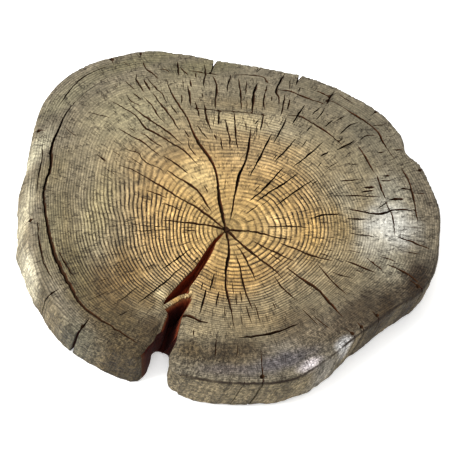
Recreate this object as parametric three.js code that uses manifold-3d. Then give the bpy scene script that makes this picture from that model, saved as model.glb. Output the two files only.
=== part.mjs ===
// A weathered slice cut slightly askew across a log that has lost its bark.
// Millimetres, +Z up. The underside lies on Z = 0 and the origin is the middle of the footprint.
// Plan positions below are measured from the pith, the heart of the log, on the upper face.
import * as THREE from "three";
import { mergeVertices } from "three/addons/utils/BufferGeometryUtils.js";
import Module from "manifold-3d";

const THICKNESS = 34;
const LEAN = new THREE.Vector2(-11, 0); // how far the grain carries the outline sideways at the underside
const OUTLINE_STEPS = 200; // facets round the rim
const OVERCUT = 2; // how far a cutter stands clear of the faces it opens

// Rounding of the rim: height as a share of the thickness, and inset from the outline.
const WALL_PROFILE = [
  { level: 0.0, inset: 2.0 },
  { level: 0.05, inset: 0.3 },
  { level: 0.35, inset: 0.9 },
  { level: 0.7, inset: 0.4 },
  { level: 0.84, inset: 0.6 },
  { level: 0.94, inset: 1.8 },
  { level: 1.0, inset: 4.6 },
];

// Ribs that the grain leaves on the bark side: how many go round, how deep, and where they start.
const FLUTES = [
  { count: 13, depth: 0.5, phase: 0.6 },
  { count: 29, depth: 0.4, phase: 2.1 },
  { count: 47, depth: 0.3, phase: 4.4 },
];

// The lobed outline of the upper face, anticlockwise from the right.
const OUTLINE = [
  [161, -6], [164, 19], [159, 45], [153, 64], [144, 75], [143, 91],
  [129, 117], [101, 141], [66, 160], [30, 171], [-6, 179], [-37, 187],
  [-66, 190], [-98, 181], [-128, 164], [-146, 134], [-153, 98], [-155, 68],
  [-158, 42], [-152, 15], [-149, -10], [-142, -35], [-128, -59], [-107, -88],
  [-84, -99], [-62, -109], [-37, -121], [-10, -128], [20, -130], [48, -126],
  [68, -113], [98, -88], [125, -67], [142, -55], [154, -36],
];

// The open split, from the pith to the rim: its two lips, its depth, and its width below as a share.
const SPLIT = [
  { left: [-1, 3], right: [2, -2], depth: 5, foot: 0.3 },
  { left: [-10, -9], right: [-7, -15], depth: 10, foot: 0.35 },
  { left: [-20, -27], right: [-15, -31], depth: 16, foot: 0.4 },
  { left: [-36, -54], right: [-26, -51], depth: 23, foot: 0.5 },
  { left: [-45, -68], right: [-25, -61], depth: 28, foot: 0.6 },
  { left: [-47, -86], right: [-31, -84], depth: 33, foot: 0.7 },
  { left: [-50, -94], right: [-34, -94], depth: THICKNESS + OVERCUT, foot: 0.8 },
  { left: [-59, -106], right: [-39, -110], depth: THICKNESS + OVERCUT, foot: 0.9 },
  { left: [-72, -134], right: [-47, -138], depth: THICKNESS + OVERCUT, foot: 1.0 },
];

// A tongue of wood that the split left standing on its left side.
const TONGUE = {
  outline: [[-60, -63], [-44, -62], [-33, -57], [-28, -59], [-32, -66], [-43, -73], [-60, -76]],
  bottom: 8,
  top: 30,
};

// Checks that drying opened in the upper face: where each starts and ends, its width and depth.
const CHECKS = [
  { from: [104, 26], to: [108, 158], width: 2.2, depth: 12 },
  { from: [77, 23], to: [79, 107], width: 2.0, depth: 10 },
  { from: [69, 54], to: [69, 104], width: 1.6, depth: 8 },
  { from: [54, 31], to: [53, 76], width: 1.6, depth: 8 },
  { from: [48, 80], to: [48, 116], width: 1.5, depth: 7 },
  { from: [34, 44], to: [35, 85], width: 1.5, depth: 7 },
  { from: [352, 20], to: [349, 51], width: 1.6, depth: 8 },
  { from: [341, 40], to: [340, 84], width: 1.5, depth: 8 },
  { from: [312, 24], to: [313, 61], width: 2.0, depth: 10 },
  { from: [322, 56], to: [317, 115], width: 2.0, depth: 10 },
  { from: [271, 20], to: [274, 87], width: 1.8, depth: 10 },
  { from: [129, 48], to: [135, 98], width: 1.6, depth: 8 },
  { from: [141, 66], to: [143, 108], width: 1.6, depth: 8 },
  { from: [168, 24], to: [170, 49], width: 1.6, depth: 8 },
  { from: [123, 78], to: [130, 132], width: 1.5, depth: 7 },
];

// Gaps that run down the bark side: bearing, width at the rim, and how far in they reach.
const RIM_GAPS = [
  { bearing: 92.5, width: 4.5, reach: 7 },
  { bearing: 68.5, width: 4.5, reach: 6 },
  { bearing: 281, width: 2.0, reach: 6 },
  { bearing: 221, width: 2.6, reach: 7 },
  { bearing: 339, width: 2.0, reach: 5 },
];

const WEATHERED_WOOD = { color: 0x9c8f74, roughness: 0.9, metalness: 0 };

const wasm = await Module();
wasm.setup();

/** The point at a bearing in degrees and a radius from the pith. */
function polar([bearing, radius]) {
  const angle = THREE.MathUtils.degToRad(bearing);
  return new THREE.Vector2(Math.cos(angle), Math.sin(angle)).multiplyScalar(radius);
}

/** A closed body from vertices and faces. */
function bodyOf(vertices, faces) {
  const geometry = new THREE.BufferGeometry().setFromPoints(vertices);
  geometry.setIndex(faces.flat());
  return geometry;
}

/** A geometry as a manifold-3d solid. */
function solidOf(geometry) {
  const bare = geometry.clone();
  bare.deleteAttribute("normal");
  bare.deleteAttribute("uv");
  const merged = mergeVertices(bare, 1e-4);
  return new wasm.Manifold(
    new wasm.Mesh({
      numProp: 3,
      vertProperties: new Float32Array(merged.attributes.position.array),
      triVerts: new Uint32Array(merged.index.array),
    }),
  );
}

/** A manifold-3d solid as a geometry. */
function geometryOf(solid) {
  const mesh = solid.getMesh();
  const geometry = new THREE.BufferGeometry();
  geometry.setAttribute("position", new THREE.BufferAttribute(mesh.vertProperties, 3));
  geometry.setIndex(new THREE.BufferAttribute(mesh.triVerts, 1));
  geometry.computeVertexNormals();
  return geometry;
}

/** How far the grain has carried a point sideways at a height above the underside. */
function leanAt(height) {
  return LEAN.clone().multiplyScalar(1 - height / THICKNESS);
}

/** The rim as evenly spaced points with outward normals, ribbed by the flutes. */
function rimPoints() {
  const corners = OUTLINE.map(([x, y]) => new THREE.Vector3(x, y, 0));
  const curve = new THREE.CatmullRomCurve3(corners, true, "centripetal");
  return Array.from({ length: OUTLINE_STEPS }, (_, step) => {
    const share = step / OUTLINE_STEPS;
    const point = curve.getPointAt(share);
    const tangent = curve.getTangentAt(share);
    const normal = new THREE.Vector2(tangent.y, -tangent.x).normalize();
    const ribs = FLUTES.map(({ count, depth, phase }) =>
      depth * Math.cos(2 * Math.PI * count * share + phase));
    const ribHeight = ribs.reduce((sum, rib) => sum + rib, 0);
    return { place: new THREE.Vector2(point.x, point.y).addScaledVector(normal, ribHeight), normal };
  });
}

/** The whole slice before anything is cut: the leaning wall between two flat faces. */
function buildLogSection() {
  const rim = rimPoints();
  const vertices = [];
  for (const { level, inset } of WALL_PROFILE) {
    const height = level * THICKNESS;
    const lean = leanAt(height);
    for (const { place, normal } of rim) {
      const point = place.clone().addScaledVector(normal, -inset).add(lean);
      vertices.push(new THREE.Vector3(point.x, point.y, height));
    }
  }
  const faces = [];
  for (let layer = 0; layer < WALL_PROFILE.length - 1; layer++) {
    for (let step = 0; step < OUTLINE_STEPS; step++) {
      const next = (step + 1) % OUTLINE_STEPS;
      const [low, high] = [layer * OUTLINE_STEPS, (layer + 1) * OUTLINE_STEPS];
      faces.push([low + step, low + next, high + next], [low + step, high + next, high + step]);
    }
  }
  const topStart = (WALL_PROFILE.length - 1) * OUTLINE_STEPS;
  const flat = (start) =>
    vertices.slice(start, start + OUTLINE_STEPS).map(({ x, y }) => new THREE.Vector2(x, y));
  for (const [a, b, c] of THREE.ShapeUtils.triangulateShape(flat(topStart), []))
    faces.push([topStart + a, topStart + b, topStart + c]);
  for (const [a, b, c] of THREE.ShapeUtils.triangulateShape(flat(0), [])) faces.push([c, b, a]);
  return bodyOf(vertices, faces);
}

/** The space of the open split: a trough that deepens from the pith until it runs right through. */
function buildSplit() {
  const vertices = [];
  for (const { left, right, depth, foot } of SPLIT) {
    const lips = [new THREE.Vector2(...left), new THREE.Vector2(...right)];
    const middle = lips[0].clone().lerp(lips[1], 0.5);
    const lean = leanAt(THICKNESS - depth);
    const feet = lips.map((lip) => middle.clone().lerp(lip, foot).add(lean));
    for (const lip of lips) vertices.push(new THREE.Vector3(lip.x, lip.y, THICKNESS + OVERCUT));
    for (const low of feet) vertices.push(new THREE.Vector3(low.x, low.y, THICKNESS - depth));
  }
  const faces = [];
  const addQuad = (a, b, c, d) => faces.push([a, b, c], [a, c, d]);
  for (let station = 0; station < SPLIT.length - 1; station++) {
    const [near, far] = [station * 4, station * 4 + 4];
    addQuad(near, far, far + 1, near + 1);
    addQuad(near + 2, near + 3, far + 3, far + 2);
    addQuad(near, near + 2, far + 2, far);
    addQuad(near + 1, far + 1, far + 3, near + 3);
  }
  const last = (SPLIT.length - 1) * 4;
  addQuad(0, 1, 3, 2);
  addQuad(last, last + 2, last + 3, last + 1);
  return bodyOf(vertices, faces);
}

/** The tongue of wood inside the split, leaning with the grain. */
function buildTongue() {
  const shape = new THREE.Shape(TONGUE.outline.map(([x, y]) => new THREE.Vector2(x, y)));
  const height = TONGUE.top - TONGUE.bottom;
  const tongue = new THREE.ExtrudeGeometry(shape, { depth: height, bevelEnabled: false });
  const slope = LEAN.clone().multiplyScalar(1 / THICKNESS);
  const shear = new THREE.Matrix4().set(1, 0, -slope.x, 0, 0, 1, -slope.y, 0, 0, 0, 1, 0, 0, 0, 0, 1);
  const start = leanAt(TONGUE.bottom);
  return tongue.applyMatrix4(shear).translate(start.x, start.y, TONGUE.bottom);
}

/** The space of one drying check: two lips that meet at both ends over a sharp keel. */
function buildCheck({ from, to, width, depth }) {
  const [start, end] = [polar(from), polar(to)];
  const along = end.clone().sub(start);
  const side = new THREE.Vector2(-along.y, along.x).normalize().multiplyScalar(width / 2);
  const at = (share, offset, height) => {
    const point = start.clone().addScaledVector(along, share).addScaledVector(side, offset);
    return new THREE.Vector3(point.x, point.y, height);
  };
  const above = THICKNESS + OVERCUT;
  const vertices = [
    at(0, 0, above), at(0.5, -1, above), at(1, 0, above), at(0.5, 1, above),
    at(0.25, 0, THICKNESS - depth), at(0.75, 0, THICKNESS - depth),
  ];
  const faces = [
    [0, 1, 3], [1, 2, 3], [0, 3, 4], [3, 5, 4], [3, 2, 5], [0, 4, 1], [1, 4, 5], [1, 5, 2],
  ];
  return bodyOf(vertices, faces);
}

/** Where a bearing from the pith crosses the outline. */
function rimAt(bearing) {
  const ray = polar([bearing, 1]);
  const ahead = rimPoints().filter(({ place }) => place.dot(ray) > 0);
  return ahead.reduce((best, point) =>
    Math.abs(point.place.cross(ray)) < Math.abs(best.place.cross(ray)) ? point : best);
}

/** The space of one gap down the bark side: a wedge that leans with the grain. */
function buildRimGap({ bearing, width, reach }) {
  const { place, normal } = rimAt(bearing);
  const side = new THREE.Vector2(-normal.y, normal.x);
  const vertices = [];
  for (const height of [-OVERCUT, THICKNESS + OVERCUT]) {
    const mouth = place.clone().addScaledVector(normal, OVERCUT * 2).add(leanAt(height));
    const heart = place.clone().addScaledVector(normal, -reach).add(leanAt(height));
    const lips = [-width, width].map((half) => mouth.clone().addScaledVector(side, half / 2));
    for (const corner of [heart, lips[0], lips[1]])
      vertices.push(new THREE.Vector3(corner.x, corner.y, height));
  }
  const faces = [
    [0, 2, 1], [3, 4, 5], [0, 1, 4], [0, 4, 3], [1, 2, 5], [1, 5, 4], [2, 0, 3], [2, 3, 5],
  ];
  return bodyOf(vertices, faces);
}

/** The slice with its split, tongue, checks and rim gaps, centred over its footprint. */
function buildSlice() {
  let solid = solidOf(buildLogSection());
  solid = solid.subtract(solidOf(buildSplit()));
  solid = solid.add(solidOf(buildTongue()));
  const cutters = [...CHECKS.map(buildCheck), ...RIM_GAPS.map(buildRimGap)];
  for (const cutter of cutters) solid = solid.subtract(solidOf(cutter));
  const geometry = geometryOf(solid);
  geometry.computeBoundingBox();
  const middle = geometry.boundingBox.getCenter(new THREE.Vector3());
  return geometry.translate(-middle.x, -middle.y, 0);
}

const slice = new THREE.Mesh(buildSlice(), new THREE.MeshStandardMaterial(WEATHERED_WOOD));
slice.name = "wood_slice";

const part = new THREE.Group();
part.add(slice);

export default part;
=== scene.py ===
"""A weathered log slice: honey heart, grey rim, drying checks, ring shakes and one open split.

The slice is drawn in log space, in millimetres, where the pith is the Z axis and the grain runs straight
up. The grain of the real slice leans, so every finished point is then carried sideways by its height.
"""

import logging
import math
import random
from dataclasses import dataclass, field
from enum import Enum

import bpy
import numpy as np
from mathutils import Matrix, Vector, noise
from mathutils.geometry import delaunay_2d_cdt


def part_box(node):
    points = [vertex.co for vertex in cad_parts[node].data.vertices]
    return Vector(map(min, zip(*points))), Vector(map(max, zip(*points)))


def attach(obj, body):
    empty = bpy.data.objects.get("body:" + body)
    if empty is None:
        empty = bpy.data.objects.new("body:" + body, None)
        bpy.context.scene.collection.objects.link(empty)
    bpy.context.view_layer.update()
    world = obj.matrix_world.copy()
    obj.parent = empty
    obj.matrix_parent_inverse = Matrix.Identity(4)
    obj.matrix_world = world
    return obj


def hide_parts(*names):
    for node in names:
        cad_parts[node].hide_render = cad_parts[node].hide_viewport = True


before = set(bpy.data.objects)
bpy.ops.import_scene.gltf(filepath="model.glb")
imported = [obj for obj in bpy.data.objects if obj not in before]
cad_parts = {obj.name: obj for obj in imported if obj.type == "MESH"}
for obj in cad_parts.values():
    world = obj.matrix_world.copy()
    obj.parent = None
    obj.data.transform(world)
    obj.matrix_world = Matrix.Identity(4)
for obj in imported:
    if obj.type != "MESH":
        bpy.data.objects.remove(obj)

LOG = logging.getLogger("wood_slice")
MM = 0.001
NODE = "wood_slice"

Course = tuple[tuple[float, float], ...]
Value = object


class Surface(Enum):
    """The kinds of surface on the slice, in the order of its material slots."""

    WEATHERED = 0
    SPLIT = 1
    UNDERSIDE = 2


def smoothstep(low: float, high: float, value: np.ndarray) -> np.ndarray:
    """Eases from 0 to 1.

    Args:
        low: Where the ramp starts.
        high: Where the ramp ends.
        value: What is ramped.

    Returns:
        The eased values.
    """
    share = np.clip((value - low) / (high - low), 0.0, 1.0)
    return share * share * (3.0 - 2.0 * share)


def polar_points(course: Course) -> np.ndarray:
    """Turns bearings in degrees and radii into plan points.

    Args:
        course: Pairs of bearing and radius from the pith.

    Returns:
        The points, one per row.
    """
    pairs = np.array(course, dtype=float)
    angle = np.radians(pairs[:, 0])
    return np.stack([np.cos(angle), np.sin(angle)], 1) * pairs[:, 1:2]


def distance_to_line(points: np.ndarray, line: np.ndarray) -> tuple[np.ndarray, np.ndarray]:
    """Measures how far points lie from a line of segments.

    Args:
        points: Plan points, one per row.
        line: The corners of the line, one per row.

    Returns:
        The distances, and the share of the line's length at each nearest spot.
    """
    start, step = line[:-1], np.diff(line, axis=0)
    length = np.linalg.norm(step, axis=1)
    run = np.concatenate([[0.0], np.cumsum(length)])
    best = np.full(len(points), np.inf)
    share = np.zeros(len(points))
    for index in range(len(step)):
        away = points - start[index]
        along = np.clip(away @ step[index] / max(length[index] ** 2, 1e-12), 0.0, 1.0)
        gap = np.linalg.norm(away - along[:, None] * step[index], axis=1)
        nearer = gap < best
        best[nearer] = gap[nearer]
        share[nearer] = (run[index] + along[nearer] * length[index]) / run[-1]
    return best, share


def inside_loop(points: np.ndarray, loop: np.ndarray) -> np.ndarray:
    """Tells which points lie inside a closed loop.

    Args:
        points: Plan points, one per row.
        loop: The corners of the loop, one per row.

    Returns:
        True for each point inside.
    """
    x, y = points[:, 0], points[:, 1]
    inside = np.zeros(len(points), dtype=bool)
    for (ax, ay), (bx, by) in zip(loop, np.roll(loop, -1, axis=0)):
        if ay == by:
            continue
        crosses = (ay > y) != (by > y)
        inside ^= crosses & (x < (bx - ax) * (y - ay) / (by - ay) + ax)
    return inside


def resample(line: np.ndarray, spacing: float) -> np.ndarray:
    """Spaces points evenly along an open line, keeping its ends.

    Args:
        line: The corners of the line, one per row.
        spacing: The wanted gap between points.

    Returns:
        The new points.
    """
    run = np.concatenate([[0.0], np.cumsum(np.linalg.norm(np.diff(line, axis=0), axis=1))])
    count = max(2, int(round(run[-1] / spacing)) + 1)
    at = np.linspace(0.0, run[-1], count)
    return np.stack([np.interp(at, run, line[:, axis]) for axis in (0, 1)], 1)


def smooth_curve(points: np.ndarray, closed: bool, steps: int = 16) -> np.ndarray:
    """Draws a centripetal Catmull-Rom curve through points.

    Args:
        points: The points that the curve passes through.
        closed: Whether it comes back to its start.
        steps: How many pieces each span gets.

    Returns:
        Points along the curve. A closed curve doesn't repeat its first point.
    """
    if closed:
        ring = np.concatenate([points[-1:], points, points[:2]])
    else:
        ring = np.concatenate([2 * points[:1] - points[1:2], points, 2 * points[-1:] - points[-2:-1]])
    share = np.linspace(0.0, 1.0, steps, endpoint=False)[:, None]
    spans = []
    for before, start, end, after in zip(ring, ring[1:], ring[2:], ring[3:]):
        gaps = [math.sqrt(max(np.linalg.norm(b - a), 1e-9)) for a, b in
                ((before, start), (start, end), (end, after))]
        lead, span, tail = gaps
        leave = ((start - before) / lead - (end - before) / (lead + span)) * span + (end - start)
        arrive = ((after - end) / tail - (after - start) / (span + tail)) * span + (end - start)
        spans.append((2 * share**3 - 3 * share**2 + 1) * start + (share**3 - 2 * share**2 + share) * leave
                     + (3 * share**2 - 2 * share**3) * end + (share**3 - share**2) * arrive)
    curve = np.concatenate(spans)
    return curve if closed else np.concatenate([curve, points[-1:]])


def open_curve(course: Course, spacing: float) -> np.ndarray:
    """Draws an evenly spaced smooth curve through points, from the first to the last.

    Args:
        course: The points that the curve passes through.
        spacing: The wanted gap between its points.

    Returns:
        Points along the curve.
    """
    return resample(smooth_curve(np.array(course, dtype=float), closed=False), spacing)


def close_up(loop: np.ndarray) -> np.ndarray:
    """Repeats a loop's first point at its end.

    Args:
        loop: The loop's points.

    Returns:
        The closed line.
    """
    return np.concatenate([loop, loop[:1]])


def sideways(ahead: np.ndarray) -> np.ndarray:
    """Turns directions a quarter turn to the left.

    Args:
        ahead: The directions, one per row.

    Returns:
        The turned directions, one unit long.
    """
    side = np.stack([-ahead[:, 1], ahead[:, 0]], 1)
    return side / np.maximum(np.linalg.norm(side, axis=1), 1e-9)[:, None]


def bearings_of(points: np.ndarray) -> np.ndarray:
    """Gives the bearings of points from the pith.

    Args:
        points: Points in log space.

    Returns:
        The bearings, from 0 to 360 degrees.
    """
    return np.degrees(np.arctan2(points[:, 1], points[:, 0])) % 360


def level_along(course: Course, at: np.ndarray) -> np.ndarray:
    """Reads a level between the stations of a course.

    Args:
        course: Pairs of station and level.
        at: Where the level is read.

    Returns:
        The levels.
    """
    stations, levels = np.array(course, dtype=float).T
    return np.interp(at, stations, levels)


def grain_noise(points: np.ndarray, size: float, seed: float) -> np.ndarray:
    """Samples smooth noise at points.

    Args:
        points: Points of two or three numbers, one per row.
        size: The width of a lump.
        seed: Moves the pattern, so that each use has its own.

    Returns:
        Values from about -1 to 1.
    """
    deep = points if points.shape[1] == 3 else np.column_stack([points, np.zeros(len(points))])
    return np.array([noise.noise(Vector(point)) for point in deep / size + seed])


def linear(tint: str) -> np.ndarray:
    """Turns a colour written as rrggbb into linear light.

    Args:
        tint: Six hexadecimal digits.

    Returns:
        Red, green and blue.
    """
    parts = np.array([int(tint[at:at + 2], 16) / 255 for at in (0, 2, 4)])
    return np.where(parts <= 0.04045, parts / 12.92, ((parts + 0.055) / 1.055) ** 2.4)


@dataclass(frozen=True)
class LogOutline:
    """The lobed rim of the log, seen from above, in millimetres from the pith."""

    lobes: Course = (
        (161, -6), (164, 19), (159, 45), (153, 64), (144, 75), (143, 91),
        (129, 117), (101, 141), (66, 160), (30, 171), (-6, 179), (-37, 187),
        (-66, 190), (-99, 182), (-130, 166), (-149, 136), (-155, 99), (-155, 68),
        (-158, 42), (-152, 15), (-149, -10), (-142, -35), (-128, -59), (-107, -88),
        (-84, -99), (-62, -109), (-37, -121), (-10, -128), (20, -130), (48, -126),
        (68, -113), (98, -88), (125, -67), (142, -55), (154, -36),
    )
    spacing: float = 1.45
    ripple: float = 0.45
    swell: float = 1.3

    def rim(self) -> np.ndarray:
        """Draws the rim anticlockwise, evenly spaced and slightly rippled.

        Returns:
            The rim's points, without repeating the first.
        """
        curve = smooth_curve(np.array(self.lobes, dtype=float), closed=True)
        even = resample(close_up(curve), self.spacing)[:-1]
        outward = even / np.linalg.norm(even, axis=1)[:, None]
        waves = 0.6 * grain_noise(even, 9.0, 3.1) + 0.4 * grain_noise(even, 3.5, 8.7)
        return even + outward * (self.swell + self.ripple * waves)[:, None]

    def radius_at(self, bearing: np.ndarray) -> np.ndarray:
        """Gives the rim's radius, smoothed, as the outer growth rings follow it.

        Args:
            bearing: Bearings from the pith in radians.

        Returns:
            The radii.
        """
        curve = smooth_curve(np.array(self.lobes, dtype=float), closed=True)
        angle = np.arctan2(curve[:, 1], curve[:, 0])
        order = np.argsort(angle)
        grid = np.linspace(-math.pi, math.pi, 361)[:-1]
        radius = np.interp(grid, angle[order], np.linalg.norm(curve, axis=1)[order], period=2 * math.pi)
        blur = np.hanning(29)
        wide = np.convolve(np.concatenate([radius[-14:], radius, radius[:14]]), blur / blur.sum(), "valid")
        return np.interp(bearing, grid, wide, period=2 * math.pi)


@dataclass(frozen=True)
class GrowthRings:
    """Where each year's wood lies, counted outwards from the pith."""

    outline: LogOutline
    count: float = 60.0
    inner_share: float = 0.5
    mean_radius: float = 160.0
    eccentric: float = 0.25
    outcrop: float = 6.0
    taper: float = 0.07
    waver: float = 0.35

    def year(self, place: np.ndarray, thickness: float) -> np.ndarray:
        """Counts the rings from the pith to each point.

        Args:
            place: Points in log space, with height.
            thickness: The thickness of the slice.

        Returns:
            The ring number with its fraction.
        """
        sunk = 1 - place[:, 2:3] / thickness
        plan = place[:, :2] * (1 - self.taper * sunk) + np.array([self.outcrop, 0.0]) * sunk
        bearing = np.arctan2(plan[:, 1], plan[:, 0])
        radius = np.linalg.norm(plan, axis=1)
        near = self.mean_radius * (1 + self.eccentric * np.cos(bearing))
        blend = smoothstep(0.1, 0.75, radius / self.mean_radius)
        share = radius / (near + (self.outline.radius_at(bearing) - near) * blend)
        years = self.count * (self.inner_share * share + (1 - self.inner_share) * share**2)
        return years + self.waver * grain_noise(plan, 26.0, 1.7) * np.clip(radius / 30.0, 0.0, 1.0)


@dataclass(frozen=True)
class Check:
    """One crack in an end face: its course as bearings and radii, its width and its depth."""

    course: Course
    width: float = 1.1
    depth: float = 7.0
    jitter: float = 0.28
    open_start: bool = False

    def centre(self) -> np.ndarray:
        """Draws the slightly ragged line that the crack follows.

        Returns:
            The points along its middle.
        """
        line = open_curve(polar_points(self.course), 2.3)
        sway = self.jitter * grain_noise(line, 2.6, 5.3) * 2.0
        sway[[0, -1]] = 0.0
        return line + sideways(np.gradient(line, axis=0)) * sway[:, None]

    def half_width(self, share: np.ndarray) -> np.ndarray:
        """Gives half the crack's width along its length.

        Args:
            share: The share of the length, from 0 to 1.

        Returns:
            Half widths that close at both ends.
        """
        along = np.clip(share, 0.0, 1.0)
        taper = np.sin(math.pi * along) ** 0.55
        if self.open_start:
            taper = np.sqrt(1 - along**2) * smoothstep(-0.04, 0.06, along)
        uneven = 1.0 + 0.22 * np.sin(share * 17.0 + self.course[0][0])
        return 0.6 * self.width * taper * uneven


MAIN_CHECKS = (
    Check(((100, 0.9), (101, 24), (99, 62), (105, 92), (106, 118), (107, 130), (108, 145), (108, 165)),
          2.1, 13, 0.28, True),
    Check(((70, 9), (77, 24), (79, 52), (77, 72), (79, 107)), 1.8, 11),
    Check(((345, 0.9), (354, 21), (349, 37), (349, 52)), 1.5, 8, 0.28, True),
    Check(((315, 0.9), (311, 24), (313, 40), (314, 51), (313, 62)), 1.8, 10, 0.28, True),
    Check(((322, 56), (321, 69), (321, 86), (319, 97), (317, 115)), 1.9, 10),
    Check(((285, 0.9), (277, 20), (270, 37), (270, 53), (273, 72), (274, 88)), 1.8, 10, 0.28, True),
    Check(((150, 0.9), (165, 15), (169, 34), (170, 50)), 1.6, 9, 0.28, True),
    Check(((130, 0.9), (138, 30), (141, 51), (141, 65), (142, 94), (144, 108)), 1.5, 9, 0.28, True),
    Check(((124, 19), (122, 31), (121, 41), (123, 50), (127, 62), (129, 75)), 1.6, 9),
    Check(((80, 155), (80.6, 144), (80.2, 130), (79.7, 119)), 2.1, 10),
    Check(((73, 172), (73.6, 158), (73.5, 148), (72.2, 143), (71, 134)), 1.6, 9),
    Check(((12, 94), (9, 106), (7, 118), (8, 131), (7, 147)), 1.6, 9),
)

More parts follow.
